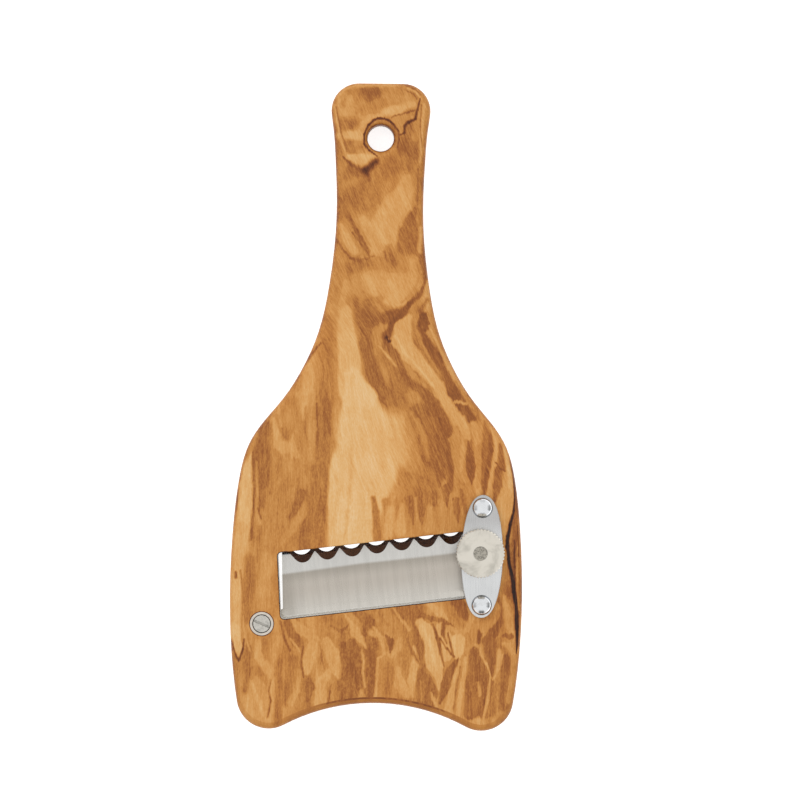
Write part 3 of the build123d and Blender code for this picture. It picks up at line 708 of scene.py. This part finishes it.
@dataclass(frozen=True)
class OliveWood(Finish):
    """Oiled olive wood: flames of honey and brown over fine fibres along the board."""

    name: str = "olive_wood_oiled"
    rows: tuple[tuple, ...] = HANDLE + HANDLE_END + NECK + PANEL + LEFT_SIDE + RIGHT_SIDE + FOOT_LEFT + FOOT_RIGHT
    ground: Range = (0.46, 0.74)
    front: float = 9.0
    lean: float = -0.25
    softness: float = 1.35
    fray_reach: Range = (-20.0, 50.0)
    fray_pull: Range = (0.35, 0.2)
    fibre_lean: float = 0.42
    lean_across: Range = (-30.0, 15.0)
    lean_upwards: Range = (0.0, 40.0)
    lean_floor: float = -28.0
    grain_height: float = 0.06 * MM
    ring_levels: Range = (0.50, 0.64)
    hole: Point = (0.0, 87.2, 0.0)
    # Painted shade at the hanging hole's mouth
    hole_mouth: Range = (4.9, 4.4)
    pivot: Point = (-36.96, -70.8, 0.0)
    # A dark ring round the ferrule
    ferrule_grime: Range = (4.18, 3.92)
    tilt: float = 7.6
    window_low: Range = (9.0, 7.0)
    window_left: Range = (-28.0, -30.0)
    window_across: Band = ((-35.0, -34.0), (42.0, 41.0))
    window_upright: Band = ((-76.0, -75.0), (-40.0, -41.0))
    # Painted shade in the window's throat over the blade's edge
    milled_thickness: Band = ((0.05, 0.3), (8.6, 8.2))
    milled_rise: Band = ((12.0, 16.0), (45.0, 40.0))
    milled_ends: Range = (46.0, 45.0)
    milled_share: float = 0.85
    milled_tone: float = 0.24
    # Painted shade on the hollow between the feet: its round-over, and a dark line where the rounding begins
    feet_top: Range = (-84.0, -86.0)
    feet_middle: float = 3.0
    round_over_reach: Range = (46.0, 20.0)
    round_over_share: Range = (0.35, 0.75)
    round_over_tone: float = 0.45
    crease_reach: Range = (25.0, 15.0)
    crease_share: float = 0.7
    crease_slope: Band = ((0.9995, 0.993), (0.93, 0.975))
    crease_tone: float = 0.22
    # Painted light on the window's walls
    window_wall: Colour = linear(238, 235, 228)
    hue: Colour = linear(255, 238, 214)
    tones: tuple[tuple[float, Colour], ...] = (
        (0.0, linear(34, 16, 10)),
        (0.2, linear(98, 48, 20)),
        (0.4, linear(153, 90, 38)),
        (0.55, linear(193, 130, 61)),
        (0.7, linear(212, 154, 86)),
        (0.85, linear(223, 176, 114)),
        (1.0, linear(230, 194, 144)),
    )

    def stroke_group(self) -> bpy.types.NodeTree:
        """Makes the node group of one tapered stroke.

        It takes and gives X, Y and the tone in one vector, so that the strokes are worked out one after another.

        Returns:
            The group.
        """
        tree = bpy.data.node_groups.new("grain_stroke", "ShaderNodeTree")
        for kind, names in (
            ("NodeSocketVector", ("Ground", "Start", "Along", "Reach")),
            ("NodeSocketFloat", ("Wide", "Widen", "Soft", "Share", "Tone")),
        ):
            for name in names:
                tree.interface.new_socket(name, in_out="INPUT", socket_type=kind)
        tree.interface.new_socket("Ground", in_out="OUTPUT", socket_type="NodeSocketVector")
        graph = NodeGraph(tree)
        given = tree.nodes.new("NodeGroupInput").outputs
        x, y, tone = graph.parts(given["Ground"])
        away = graph.vector("SUBTRACT", graph.join(x, y), given["Start"])
        along = graph.maths("MULTIPLY", graph.vector("DOT_PRODUCT", away, given["Reach"]), 1.0, clamp=True)
        aside = graph.vector("SUBTRACT", away, graph.vector("SCALE", given["Along"], along))
        edge = graph.maths("MULTIPLY_ADD", along, given["Widen"], given["Wide"])
        outside = graph.maths("SUBTRACT", graph.vector("LENGTH", aside), edge)
        inside = graph.spread(outside, given["Soft"], graph.times(given["Soft"], -1.0), 0.0, given["Share"])
        painted = graph.between(inside, tone, given["Tone"])
        graph.feed(tree.nodes.new("NodeGroupOutput").inputs[0], graph.join(x, y, painted))
        return tree

    def figure(self, graph: NodeGraph, spot: Spot) -> Socket:
        """Paints the flames, with thin darker lines where light wood meets dark.

        The strokes are read at a place that sways, frays along the fibres and leans with depth, so that the back
        isn't the front seen through.

        Args:
            graph: The material's node tree.
            spot: The shaded place.

        Returns:
            The tone.
        """
        sway = graph.noise(spot.solid, (0.14, 0.06, 0.10), 2.0)
        fray = graph.noise(spot.solid, (1.1, 0.07, 0.9), 3.0, 0.6)
        nibble = graph.noise(spot.solid, (1.5, 0.5, 1.2), 2.0, 0.6)
        cloud = graph.noise(spot.solid, (0.075, 0.022, 0.06), 3.0, 0.55, 0.8)
        leaning = graph.maths("MULTIPLY_ADD", spot.depth, self.lean, spot.x)
        aside = graph.maths(
            "ADD", graph.spread(sway, 0.25, 0.75, -0.35, 0.35), graph.spread(nibble, 0.2, 0.8, -0.07, 0.07)
        )
        pull = graph.spread(spot.y, *self.fray_reach, *self.fray_pull)
        moved_y = graph.maths("MULTIPLY_ADD", graph.spread(fray, 0.25, 0.75, -1.0, 1.0), pull, spot.y)
        ground = graph.join(graph.maths("ADD", leaning, aside), moved_y, graph.spread(cloud, 0.25, 0.75, *self.ground))
        group = self.stroke_group()
        for flame in (stroke for row in self.rows for stroke in trail(*row)):
            along = flame.end - flame.start
            sources = {
                "Ground": ground,
                "Start": tuple(flame.start),
                "Along": tuple(along),
                "Reach": tuple(along / along.length_squared),
                "Wide": flame.wide[0] * PHOTO.scale,
                "Widen": (flame.wide[1] - flame.wide[0]) * PHOTO.scale,
                "Soft": flame.soft * self.softness * PHOTO.scale,
                "Share": flame.share,
                "Tone": flame.tone,
            }
            ground = graph.fill(graph.node("Group", node_tree=group), sources).outputs[0]
        tone = graph.parts(ground)[2]
        for level in self.ring_levels:
            near = graph.maths("ABSOLUTE", graph.maths("SUBTRACT", tone, level))
            tone = graph.maths("SUBTRACT", tone, graph.spread(near, 0.035, 0.008, 0.0, 0.03))
        return tone

    def fibres(self, graph: NodeGraph, spot: Spot) -> tuple[Socket, Socket, Socket]:
        """Adds what grows along the board, upright on the left and leaning on the handle and the right.

        Args:
            graph: The material's node tree.
            spot: The shaded place.

        Returns:
            The fibres, the pores and the mottling.
        """
        across, upwards = graph.spread(spot.x, *self.lean_across), graph.spread(spot.y, *self.lean_upwards)
        share = graph.maths("MAXIMUM", across, upwards)
        rise = graph.times(graph.maths("MAXIMUM", spot.y, self.lean_floor), self.fibre_lean)
        grown = graph.join(graph.maths("MULTIPLY_ADD", share, rise, spot.x), spot.y, spot.depth)
        return (
            graph.noise(grown, (1.6, 0.14, 1.5), 4.0, 0.7, 0.5),
            graph.noise(grown, (3.5, 0.9, 3.5), 3.0, 0.6),
            graph.noise(grown, (0.40, 0.13, 0.4), 4.0, 0.65, 0.5),
        )

    def window(self, graph: NodeGraph, spot: Spot) -> tuple[Socket, Socket]:
        """Finds where a place lies round the window.

        Args:
            graph: The material's node tree.
            spot: The shaded place.

        Returns:
            How far it is over the pivot, across the blade, and how much it is at the window's lower or left side.
        """
        lean = math.radians(self.tilt)
        from_pivot = graph.vector("SUBTRACT", spot.solid, self.pivot)
        above = graph.vector("DOT_PRODUCT", from_pivot, (-math.sin(lean), math.cos(lean), 0.0))
        left = graph.spread(spot.x, *self.window_left)
        beside = graph.maths("MAXIMUM", graph.spread(above, *self.window_low), left)
        across, upright = graph.within(spot.x, self.window_across), graph.within(spot.y, self.window_upright)
        return above, graph.times(beside, across, upright)

    def feet(self, graph: NodeGraph, spot: Spot, tone: Socket, mottle: Socket) -> Socket:
        """Paints shade on the hollow between the feet: a darker brown round-over, with a broken dark line of painted
        shade over its middle.

        Args:
            graph: The material's node tree.
            spot: The shaded place.
            tone: The wood's tone.
            mottle: What breaks the line.

        Returns:
            The new tone.
        """
        below = graph.times(graph.spread(spot.normal_y, -0.04, -0.10), graph.spread(spot.y, *self.feet_top))
        aside = graph.maths("ABSOLUTE", graph.maths("SUBTRACT", spot.x, self.feet_middle))
        downward_shade = graph.times(below, graph.spread(aside, *self.round_over_reach, *self.round_over_share))
        crease_line_shade = graph.times(
            below,
            graph.within(spot.slope, self.crease_slope),
            graph.spread(aside, *self.crease_reach, 0.0, self.crease_share),
            graph.spread(mottle, 0.40, 0.56, 0.25, 1.0),
        )
        return graph.between(crease_line_shade, graph.between(downward_shade, tone, self.round_over_tone), self.crease_tone)

    def inputs(self, graph: NodeGraph) -> dict[str, object]:
        """Adds the figure, the fibres and the oiled sheen, with painted shade and painted light round the edges, the
        hole, the window and the feet.

        Args:
            graph: The material's node tree.

        Returns:
            What the shader's inputs take, by their names.
        """
        x, y, z = graph.parts(graph.millimetres())
        depth = graph.maths("SUBTRACT", z, self.front)
        normal = graph.facing()
        spot = Spot(x, y, depth, graph.join(x, y, depth), normal[1], graph.maths("ABSOLUTE", normal[2]))
        tone = self.figure(graph, spot)
        fibre, pore, mottle = self.fibres(graph, spot)
        for pattern, low, high, darkest, palest in (
            (fibre, 0.2, 0.8, -0.08, 0.08),
            (mottle, 0.25, 0.75, -0.05, 0.05),
            (pore, 0.3, 0.75, -0.06, 0.045),
        ):
            tone = graph.maths("ADD", tone, graph.spread(pattern, low, high, darkest, palest))

        # Painted shade at the hanging hole's mouth, and a dark ring round the ferrule
        flat = graph.join(x, y)
        mouth_shade = graph.spread(graph.vector("DISTANCE", flat, self.hole), *self.hole_mouth, 0.0, 0.12)
        ferrule_ring = graph.spread(graph.vector("DISTANCE", flat, self.pivot), *self.ferrule_grime, 0.0, 0.42)
        tone = graph.maths("SUBTRACT", tone, graph.maths("MAXIMUM", mouth_shade, ferrule_ring))

        # Painted shade: the rounded edges are a little darker, and the window's lower and left ones much darker
        above, rim = self.window(graph, spot)
        edge = graph.spread(spot.slope, 0.97, 0.3, 0.0, 0.10)
        window_rim_shade = graph.times(rim, graph.spread(spot.slope, 0.99, 0.90, 0.0, 0.60))
        tone = graph.maths("SUBTRACT", tone, graph.maths("MAXIMUM", edge, window_rim_shade), clamp=True)

        # Painted shade darkens the wood of the window's throat over the blade's edge, and the bevels mirror it
        throat_shade = graph.times(
            graph.within(z, self.milled_thickness),
            graph.within(above, self.milled_rise),
            graph.spread(graph.maths("ABSOLUTE", x), *self.milled_ends),
            self.milled_share,
        )
        tone = self.feet(graph, spot, graph.between(throat_shade, tone, self.milled_tone), mottle)

        # Painted light makes the window's own walls pale, as if they faced a lamp
        hued = graph.spread(graph.noise(spot.solid, (0.04, 0.02, 0.04), 2.0), 0.4, 0.7, 0.0, 0.3)
        colour = graph.blend(hued, graph.ramp(tone, self.tones), self.hue, "MULTIPLY")
        wall = graph.times(rim, graph.spread(spot.slope, 0.40, 0.25))
        height = graph.maths("ADD", graph.times(fibre, 0.6), graph.times(pore, 0.4))
        return {
            "Base Color": graph.blend(wall, colour, self.window_wall),
            "Specular IOR Level": 0.3,
            "Roughness": graph.spread(fibre, 0.25, 0.75, 0.50, 0.40),
            "Normal": graph.bump(height, self.grain_height, 0.5),
        }


# Metal


@dataclass(frozen=True)
class BladeSteel(Finish):
    """Ground steel: brushed across the blade, paler on the facet, and polished on the scallops' bevels, with a painted
    reflection, painted shade and a painted highlight on the flat.
    """

    name: str = "blade_steel_ground"
    metallic: float = 1.0
    pivot: Point = (-36.96 * MM, -70.8 * MM, 0.3 * MM)
    tilt: float = 7.6
    facet_line: float = 14.95
    facet_side: Range = (-0.35, 0.75)
    facet_reach: Range = (6.0, 62.0)
    facet_sag: float = 0.35
    # Painted reflection and painted shade on the flat
    low_side: Range = (1.0, 9.5)
    under_depth: float = 4.5
    left_end: Range = (13.5, 9.5)
    right_end: Range = (64.0, 70.0)
    # Along the window's lower wall: a painted highlight, and a mirror finish
    wall_line: Range = (0.63, -0.0078)
    wall_side: Range = (0.75, 0.35)
    wall_reach: Range = (3.0, 1.0)
    mirror: float = 0.08
    brush_height: float = 0.008 * MM
    flat_colour: Colour = linear(197, 189, 178)
    low_colour: Colour = linear(213, 208, 199)
    under_colour: Colour = linear(167, 160, 149)
    facet_colour: Colour = linear(214, 212, 207)
    bevel_colour: Colour = linear(186, 200, 214)
    wall_colour: Colour = linear(236, 235, 230)

    def inputs(self, graph: NodeGraph) -> dict[str, object]:
        """Adds the brushing, the facet, the polished bevels and the painted reflection, shade and highlight on the
        flat.

        Args:
            graph: The material's node tree.

        Returns:
            What the shader's inputs take, by their names.
        """
        turned = graph.node("Mapping", vector_type="TEXTURE")
        sources = {"Location": self.pivot, "Rotation": (0.0, 0.0, math.radians(self.tilt))}
        graph.fill(turned, {"Vector": graph.node("TexCoord").outputs["Object"], **sources})
        place = graph.vector("SCALE", turned.outputs[0], 1 / MM)
        u, v, _ = graph.parts(place)
        polished = graph.spread(graph.maths("ABSOLUTE", graph.facing()[2]), 0.985, 0.95)
        brush = graph.noise(place, (3.2, 0.09, 3.2), 4.0, 0.7)
        coarse = graph.noise(place, (0.55, 0.03, 0.5), 3.0, 0.6)
        haze = graph.noise(place, (0.05, 0.16, 0.1), 2.0)

        # A painted reflection makes the flat paler low down and darker under the facet, and painted shade darkens both
        # ends
        low = graph.spread(v, *self.low_side, 1.0, 0.0)
        dark_reflection = graph.spread(v, self.facet_line - self.under_depth, self.facet_line, 0.0, 0.72)
        end_shade = graph.maths("MAXIMUM", graph.spread(u, *self.left_end), graph.spread(u, *self.right_end))
        flat = graph.blend(low, self.flat_colour, self.low_colour)
        flat = graph.blend(dark_reflection, flat, self.under_colour)
        flat = graph.blend(graph.times(end_shade, 0.45), flat, self.under_colour)

        # The facet's line is a little higher in its middle
        sag = graph.maths("ABSOLUTE", graph.spread(u, *self.facet_reach, -self.facet_sag, self.facet_sag))
        over = graph.maths("SUBTRACT", graph.maths("ADD", v, sag), self.facet_line)
        facet = graph.spread(over, *self.facet_side)
        grain = graph.maths("ADD", graph.spread(brush, 0.2, 0.8, -0.5, 0.5), graph.spread(coarse, 0.3, 0.7, -0.5, 0.5))
        colour = graph.tinted(graph.blend(facet, flat, self.facet_colour), graph.spread(grain, -1.0, 1.0, 0.92, 1.07))

        # Near the window's lower wall the blade gets a painted highlight, and is smoothed to mirror that wall
        wall = graph.maths("SUBTRACT", v, graph.maths("MULTIPLY_ADD", u, self.wall_line[1], self.wall_line[0]))
        colour = graph.blend(graph.spread(wall, *self.wall_side), colour, self.wall_colour)
        dull = graph.maths("ADD", graph.spread(coarse, 0.2, 0.8, 0.24, 0.34), graph.spread(haze, 0.3, 0.7, -0.03, 0.05))
        dull = graph.between(graph.spread(wall, *self.wall_reach), dull, self.mirror)
        return {
            "Base Color": graph.blend(polished, colour, self.bevel_colour),
            "Roughness": graph.between(polished, dull, self.mirror),
            "Normal": graph.bump(graph.between(polished, brush, 0.5), self.brush_height, 0.6),
        }


@dataclass(frozen=True)
class BrushedSteel(Finish):
    """Steel brushed along the board, as on the bracket and its washer."""

    name: str = "bracket_steel_brushed"
    metallic: float = 1.0
    colour: Colour = linear(225, 226, 226)
    shaded_colour: Colour = linear(198, 197, 196)
    shade_side: Range = (-43.0, -36.0)
    brush_height: float = 0.014 * MM

    def inputs(self, graph: NodeGraph) -> dict[str, object]:
        """Adds the brushing, and the shade on the bracket's upper end.

        Args:
            graph: The material's node tree.

        Returns:
            What the shader's inputs take, by their names.
        """
        place = graph.millimetres()
        brush = graph.noise(place, (4.5, 0.10, 4.5), 4.0, 0.7)
        cloud = graph.noise(place, (0.12, 0.12, 0.12), 2.0)
        tint = graph.maths("ADD", graph.spread(brush, 0.2, 0.8, 0.90, 1.06), graph.spread(cloud, 0.3, 0.7, -0.05, 0.03))
        shade = graph.spread(graph.parts(place)[1], *self.shade_side)
        return {
            "Base Color": graph.tinted(graph.blend(shade, self.colour, self.shaded_colour), tint),
            "Roughness": graph.spread(brush, 0.2, 0.8, 0.22, 0.36),
            "Normal": graph.bump(brush, self.brush_height, 0.8),
        }


@dataclass(frozen=True)
class TurnedMetal(Finish):
    """Plated or turned metal, mottled by handling. It may be specked, and have painted shade in deep places and a
    painted dark reflection at its rim.
    """

    name: str = "turned_metal"
    metallic: float = 1.0
    colour: Colour = linear(210, 210, 208)
    worn_colour: Colour = linear(170, 168, 162)
    speck_colour: Colour = linear(104, 99, 92)
    # Painted shade in deep places
    deep_colour: Colour = linear(52, 46, 40)
    # A painted dark reflection at the rim
    rim_colour: Colour = linear(92, 106, 122)
    wear: float = 0.35
    wear_scale: float = 0.5
    rough: Range = (0.18, 0.34)
    speckle: float = 0.0
    deep: float = 0.0
    deep_side: float = 0.15
    deep_share: float = 0.0
    rim_slope: Range = (0.72, 0.60)
    rim_share: float = 0.0
    scuff_height: float = 0.008 * MM

    def inputs(self, graph: NodeGraph) -> dict[str, object]:
        """Adds the mottling, the specks, the painted shade and dark reflection, and the fine scuffs.

        Args:
            graph: The material's node tree.

        Returns:
            What the shader's inputs take, by their names.
        """
        place = graph.millimetres()
        cloud = graph.noise(place, (self.wear_scale,) * 3, 4.0, 0.6, 0.6)
        colour = graph.blend(graph.spread(cloud, 0.42, 0.68, 0.0, self.wear), self.colour, self.worn_colour)
        if self.speckle:
            specks = graph.noise(place, (1.7, 1.7, 1.7), 3.0, 0.7)
            colour = graph.blend(graph.spread(specks, 0.44, 0.58, 0.0, self.speckle), colour, self.speck_colour)
        # Painted shade in deep places
        if self.deep_share:
            height = graph.parts(place)[2]
            sunk_shade = graph.spread(height, self.deep, self.deep - self.deep_side, 0.0, self.deep_share)
            colour = graph.blend(sunk_shade, colour, self.deep_colour)
        # A painted dark reflection round the rim
        if self.rim_share:
            rim = graph.spread(graph.facing()[2], *self.rim_slope, 0.0, self.rim_share)
            colour = graph.blend(rim, colour, self.rim_colour)
        scuffs = graph.noise(place, (7.0, 7.0, 7.0), 3.0, 0.6)
        return {
            "Base Color": colour,
            "Roughness": graph.spread(cloud, 0.25, 0.75, *self.rough),
            "Normal": graph.bump(scuffs, self.scuff_height, 0.6),
        }


# Pieces


def add_object(name: str, data: bpy.types.ID) -> bpy.types.Object:
    """Puts a mesh, a lamp or a camera into the scene.

    Args:
        name: The object's name.
        data: What it shows.

    Returns:
        The new object.
    """
    made = bpy.data.objects.new(name, data)
    bpy.context.scene.collection.objects.link(made)
    return made


def add_mesh(name: str, shape: bmesh.types.BMesh, finish: Finish) -> bpy.types.Object:
    """Turns a bmesh into an object.

    Args:
        name: The object's name.
        shape: Its mesh, which is freed.
        finish: Its finish.

    Returns:
        The new object.
    """
    mesh = bpy.data.meshes.new(name)
    shape.to_mesh(mesh)
    shape.free()
    mesh.materials.append(finish.material())
    log.info("%s: %d faces, %s", name, len(mesh.polygons), finish.name)
    return add_object(name, mesh)


@dataclass(frozen=True)
class SubAssembly:
    """Pieces that belong together. A field with the name of a CAD node holds that node's finish."""

    def build(self) -> None:
        """Gives each node its finish."""
        for piece in fields(self):
            if piece.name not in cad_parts:
                continue
            shown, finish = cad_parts[piece.name], getattr(self, piece.name)
            material = finish.material()
            if not shown.material_slots:
                shown.data.materials.append(material)
            for slot in shown.material_slots:
                slot.material = material
            log.info("%s: %s", piece.name, finish.name)


@dataclass(frozen=True)
class Board(SubAssembly):
    """The olive wood board."""

    board: Finish = OliveWood()


@dataclass(frozen=True)
class Blade(SubAssembly):
    """The scalloped blade."""

    blade: Finish = BladeSteel()


@dataclass(frozen=True)
class Pivot(SubAssembly):
    """The ferrule, its slotted screw and the barrel nut behind them."""

    # The ferrule and the screw have painted shade in their deep places
    pivot_ferrule: Finish = TurnedMetal(
        "ferrule_nickel", colour=linear(226, 216, 203), rough=(0.20, 0.32), deep=8.6, deep_share=0.85
    )
    pivot_screw: Finish = TurnedMetal(
        "pivot_screw_steel",
        colour=linear(212, 208, 199),
        wear=0.6,
        wear_scale=0.9,
        rough=(0.26, 0.46),
        deep=8.7,
        deep_share=0.28,
    )
    pivot_barrel_nut: Finish = TurnedMetal("barrel_nut_steel", wear_scale=0.8)


@dataclass(frozen=True)
class Bracket(SubAssembly):
    """The oval plate and its two dome headed screws."""

    bracket_plate: Finish = BrushedSteel()
    # The domes have a painted dark reflection round the rim
    bracket_screw_upper: Finish = TurnedMetal(
        "dome_chrome", colour=linear(236, 238, 240), wear=0.15, rough=(0.06, 0.14), rim_share=0.6
    )
    bracket_screw_lower: Finish = bracket_screw_upper


@dataclass(frozen=True)
class Adjuster(SubAssembly):
    """The thumb nut, its washer, the screw and the spring around it."""

    thumb_nut: Finish = TurnedMetal(
        "nut_nickel_satin",
        colour=linear(230, 224, 212),
        worn_colour=linear(178, 174, 163),
        wear=0.6,
        wear_scale=0.14,
        rough=(0.30, 0.46),
    )
    adjusting_screw: Finish = TurnedMetal(
        "rod_steel_sawn", colour=linear(186, 180, 167), wear=0.4, wear_scale=1.2, rough=(0.32, 0.5), speckle=0.7
    )
    nut_washer: Finish = BrushedSteel("washer_steel")
    wire: Finish = TurnedMetal("spring_wire", colour=linear(180, 180, 180), wear_scale=1.5)
    axis: Range = (33.65 * MM, -47.04 * MM)
    coil_radius: float = 2.95 * MM
    wire_radius: float = 0.4 * MM
    low: float = 2.25 * MM
    high: float = 8.55 * MM
    turns: float = 4.5
    steps_per_turn: int = 40
    wire_sides: int = 12
    weld: float = 0.0001 * MM

    def build(self) -> None:
        """Dresses the three CAD pieces and winds the spring's wire, which stretches from the plate to the blade."""
        super().build()
        steps = round(self.turns * self.steps_per_turn)
        rise = (self.high - self.low) / steps
        climb = math.atan2(rise * self.steps_per_turn, 2 * math.pi * self.coil_radius)
        shape = bmesh.new()
        ring = bmesh.ops.create_circle(shape, segments=self.wire_sides, radius=self.wire_radius)["verts"]
        upright = Matrix.Rotation(math.pi / 2 - climb, 4, "X")
        start = Vector((self.axis[0] + self.coil_radius, self.axis[1], self.low))
        bmesh.ops.transform(shape, matrix=Matrix.Translation(start) @ upright, verts=ring)
        bmesh.ops.spin(
            shape,
            geom=shape.verts[:] + shape.edges[:],
            cent=(*self.axis, 0.0),
            axis=(0.0, 0.0, 1.0),
            dvec=(0.0, 0.0, rise),
            angle=2 * math.pi * self.turns,
            steps=steps,
            use_merge=False,
            use_normal_flip=False,
            use_duplicate=False,
        )
        bmesh.ops.holes_fill(shape, edges=[edge for edge in shape.edges if edge.is_boundary], sides=0)
        bmesh.ops.remove_doubles(shape, verts=shape.verts, dist=self.weld)
        bmesh.ops.recalc_face_normals(shape, faces=shape.faces)
        for face in shape.faces:
            face.smooth = True
        coil = add_mesh("spring_coil", shape, self.wire)
        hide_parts("blade_spring")
        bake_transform(coil)


# Studio


@dataclass(frozen=True)
class FloorPaint(Finish):
    """Matt white that glows where it is seen, so that the floor looks white and keeps a faint shadow."""

    name: str = "floor_white"
    colour: Colour = linear(238, 238, 238)
    glow: float = 0.75

    def inputs(self, graph: NodeGraph) -> dict[str, object]:
        """Adds the glow, for rays from the camera, a mirror or glass.

        Args:
            graph: The material's node tree.

        Returns:
            What the shader's inputs take, by their names.
        """
        ray = graph.node("LightPath").outputs
        seen = graph.maths("MAXIMUM", ray["Is Camera Ray"], ray["Is Glossy Ray"])
        seen = graph.maths("MAXIMUM", seen, ray["Is Transmission Ray"])
        return {
            "Base Color": self.colour,
            "Roughness": 0.9,
            "Specular IOR Level": 0.1,
            "Emission Color": WHITE,
            "Emission Strength": graph.times(seen, self.glow),
        }


@dataclass(frozen=True)
class Lamp:
    """A soft box: where it hangs, what it points at and how bright its face is."""

    name: str
    place: Point
    side: float
    brightness: float
    target: Point = (0.0, -0.02, 0.0)

    def hang(self) -> None:
        """Adds the lamp, which polished metal doesn't show."""
        data = bpy.data.lights.new(self.name, "AREA")
        data.shape = "SQUARE"
        data.size = self.side
        data.energy = self.brightness * math.pi * self.side**2
        made = add_object(self.name, data)
        made.location = self.place
        made.visible_glossy = False
        made.rotation_euler = (Vector(self.place) - Vector(self.target)).to_track_quat("Z", "Y").to_euler()


@dataclass(frozen=True)
class Studio:
    """The camera, the floor and the lamps."""

    frame_width: float = 260.3 * MM
    frame_middle: Range = (7.16 * MM, 2.23 * MM)
    camera_height: float = 1.1
    outline_height: float = 5.5 * MM
    camera_turn: float = 0.595
    sensor: float = 36.0
    clip: Range = (0.05, 20.0)
    floor_side: float = 6.0
    floor_gap: float = 0.2 * MM
    sky: float = 0.9
    sky_gap: float = 0.8
    lamps: tuple[Lamp, ...] = (
        Lamp("soft_box_left", (-0.75, 0.55, 1.25), 0.9, 1.5),
        Lamp("soft_box_right", (0.85, 0.15, 1.15), 0.7, 0.9),
    )

    def camera(self) -> None:
        """Sets the camera over the board, looking straight down as in the photograph."""
        data = bpy.data.cameras.new("photo_camera")
        data.sensor_width = self.sensor
        data.lens = self.sensor * self.camera_height / self.frame_width
        data.clip_start, data.clip_end = self.clip
        made = add_object("photo_camera", data)
        made.location = (*self.frame_middle, self.camera_height + self.outline_height)
        made.rotation_euler = (0.0, 0.0, math.radians(self.camera_turn))
        bpy.context.scene.camera = made

    def floor(self) -> None:
        """Lays a pale floor under the board."""
        shape = bmesh.new()
        bmesh.ops.create_grid(shape, x_segments=1, y_segments=1, size=self.floor_side / 2)
        bmesh.ops.translate(shape, vec=(0.0, 0.0, -self.floor_gap), verts=shape.verts)
        add_mesh("floor", shape, FloorPaint())

    def world(self) -> None:
        """Sets a sky of four pale walls with darker gaps between them, which polished metal shows."""
        world = bpy.data.worlds.new("studio_sky")
        world.use_nodes = True
        graph = NodeGraph(world.node_tree)
        x, y, height = graph.parts(graph.node("TexCoord").outputs["Generated"])
        across = graph.maths("MAXIMUM", graph.maths("ABSOLUTE", x), graph.maths("ABSOLUTE", y))
        reach = graph.maths("ADD", graph.vector("LENGTH", graph.join(x, y)), 0.001)
        corner = graph.spread(graph.maths("DIVIDE", across, reach), 0.88, 0.97)
        side = graph.maths("MULTIPLY_ADD", y, -0.4, graph.maths("MULTIPLY_ADD", x, 0.15, 0.62))
        gap = graph.times(corner, graph.spread(height, 0.75, 0.35), side)
        walls = graph.times(graph.maths("MULTIPLY_ADD", gap, -self.sky_gap, 1.0), self.sky)
        strength = graph.between(graph.node("LightPath").outputs["Is Camera Ray"], walls, 1.0)
        graph.fill(world.node_tree.nodes["Background"], {"Color": WHITE, "Strength": strength})
        bpy.context.scene.world = world

    def build(self) -> None:
        """Sets everything round the slicer."""
        self.camera()
        self.floor()
        for lamp in self.lamps:
            lamp.hang()
        self.world()
        bpy.context.scene.view_settings.view_transform = "Standard"


def main() -> None:
    """Builds the slicer piece by piece."""
    logging.basicConfig(level=logging.INFO, format="%(name)s %(message)s")
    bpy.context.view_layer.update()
    for part in (Studio(), Board(), Blade(), Pivot(), Bracket(), Adjuster()):
        part.build()
    log.info("boxes written")


if __name__ == "__main__":
    main()
